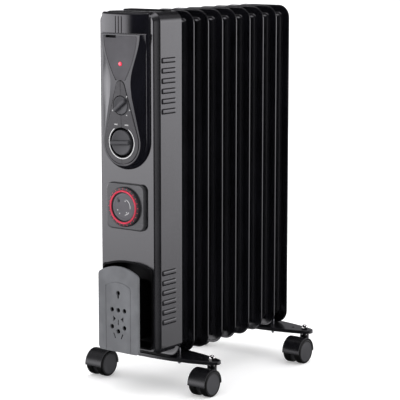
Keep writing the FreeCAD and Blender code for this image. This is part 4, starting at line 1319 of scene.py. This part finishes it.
# ------------------------------------------------------------------ frame nodes that stay
STAYING = {
    "hub_rings": "fin_enamel", "oil_filler_plug": "plain_steel", "heating_element": "plain_steel",
    "heat_shield": "plain_steel", "terminal_block": "phenolic", "thermal_cutout": "phenolic",
    "case_screws": "bright_steel", "grip_insert": "bay_plastic", "lamp_lens": "lamp_red",
    "power_switch_shaft": "phenolic", "power_switch": "phenolic", "thermostat_shaft": "bright_steel",
    "thermostat_body": "phenolic", "timer_body": "phenolic", "timer_mode_slider": "knob_plastic",
    "winder_hub": "bay_plastic", "winder_plate": "winder_plastic", "cord_gland": "gland_rubber",
    "front_bracket": "bracket_enamel", "rear_bracket": "bracket_enamel", "u_bolts": "plain_steel",
    "wing_nuts": "plain_steel", "cap_nuts": "bright_steel", "caster_stems": "bright_steel",
}


def paint_frame():
    """Finishes of the frame nodes that keep their own shape."""
    for node, name in STAYING.items():
        paint(node, FINISHES[name])
    for caster in CASTERS:
        paint(caster + "_hood", FINISHES["caster_plastic"])
        paint(caster + "_axle", FINISHES["plain_steel"])


def make_stage():
    make_camera()
    make_world()
    make_floor()
    bpy.context.scene.view_settings.view_transform = "Standard"


# ------------------------------------------------------------------ operators
class HEATER_OT_finishes(bpy.types.Operator):
    """Make every finish of the heater"""

    bl_idname = "heater.finishes"
    bl_label = "Finishes"

    def execute(self, context):
        make_finishes()
        return {"FINISHED"}


class HEATER_OT_frame(bpy.types.Operator):
    """Give the frame nodes that stay their finishes"""

    bl_idname = "heater.frame"
    bl_label = "Frame nodes"

    def execute(self, context):
        paint_frame()
        return {"FINISHED"}


class HEATER_OT_fins(bpy.types.Operator):
    """Make the row of pressed steel fins"""

    bl_idname = "heater.fins"
    bl_label = "Fins"

    def execute(self, context):
        make_fins()
        return {"FINISHED"}


class HEATER_OT_housing(bpy.types.Operator):
    """Make the steel housing and its louvres"""

    bl_idname = "heater.housing"
    bl_label = "Housing"

    def execute(self, context):
        make_housing()
        return {"FINISHED"}


class HEATER_OT_console(bpy.types.Operator):
    """Make the console, its inner panel and its scale plate"""

    bl_idname = "heater.console"
    bl_label = "Console"

    def execute(self, context):
        make_console()
        return {"FINISHED"}


class HEATER_OT_knobs(bpy.types.Operator):
    """Make the thermostat knob and the power knob"""

    bl_idname = "heater.knobs"
    bl_label = "Knobs"

    def execute(self, context):
        make_knobs()
        return {"FINISHED"}


class HEATER_OT_timer(bpy.types.Operator):
    """Make the timer: its block, dial, tappets and face"""

    bl_idname = "heater.timer"
    bl_label = "Timer"

    def execute(self, context):
        make_timer()
        return {"FINISHED"}


class HEATER_OT_bay(bpy.types.Operator):
    """Make the lining of the cord bay"""

    bl_idname = "heater.bay"
    bl_label = "Cord bay"

    def execute(self, context):
        make_bay()
        return {"FINISHED"}


class HEATER_OT_casters(bpy.types.Operator):
    """Make the caster wheels"""

    bl_idname = "heater.casters"
    bl_label = "Casters"

    def execute(self, context):
        make_casters()
        return {"FINISHED"}


class HEATER_OT_stage(bpy.types.Operator):
    """Make the camera, the studio light and the floor"""

    bl_idname = "heater.stage"
    bl_label = "Stage"

    def execute(self, context):
        make_stage()
        return {"FINISHED"}


OPERATORS = (HEATER_OT_finishes, HEATER_OT_frame, HEATER_OT_fins, HEATER_OT_housing, HEATER_OT_console,
             HEATER_OT_knobs, HEATER_OT_timer, HEATER_OT_bay, HEATER_OT_casters, HEATER_OT_stage)


class HEATER_PT_panel(bpy.types.Panel):
    """Lists the heater's pieces, sizes and colours"""

    bl_idname = "HEATER_PT_panel"
    bl_label = "Heater"
    bl_space_type = "VIEW_3D"
    bl_region_type = "UI"
    bl_category = "Heater"

    def draw(self, context):
        for operator in OPERATORS:
            self.layout.operator(operator.bl_idname)
        for group in (sizes(), colours()):
            box = self.layout.box()
            for name in group.__annotations__:
                box.prop(group, name)


CLASSES = (HeaterSizes, HeaterColours, *OPERATORS, HEATER_PT_panel)


def register():
    for item in CLASSES:
        bpy.utils.register_class(item)
    bpy.types.Scene.heater_sizes = bpy.props.PointerProperty(type=HeaterSizes)
    bpy.types.Scene.heater_colours = bpy.props.PointerProperty(type=HeaterColours)


def unregister():
    del bpy.types.Scene.heater_sizes
    del bpy.types.Scene.heater_colours
    for item in reversed(CLASSES):
        bpy.utils.unregister_class(item)


def main():
    register()
    for operator in OPERATORS:
        family, name = operator.bl_idname.split(".")
        getattr(getattr(bpy.ops, family), name)()


if __name__ == "__main__":
    main()
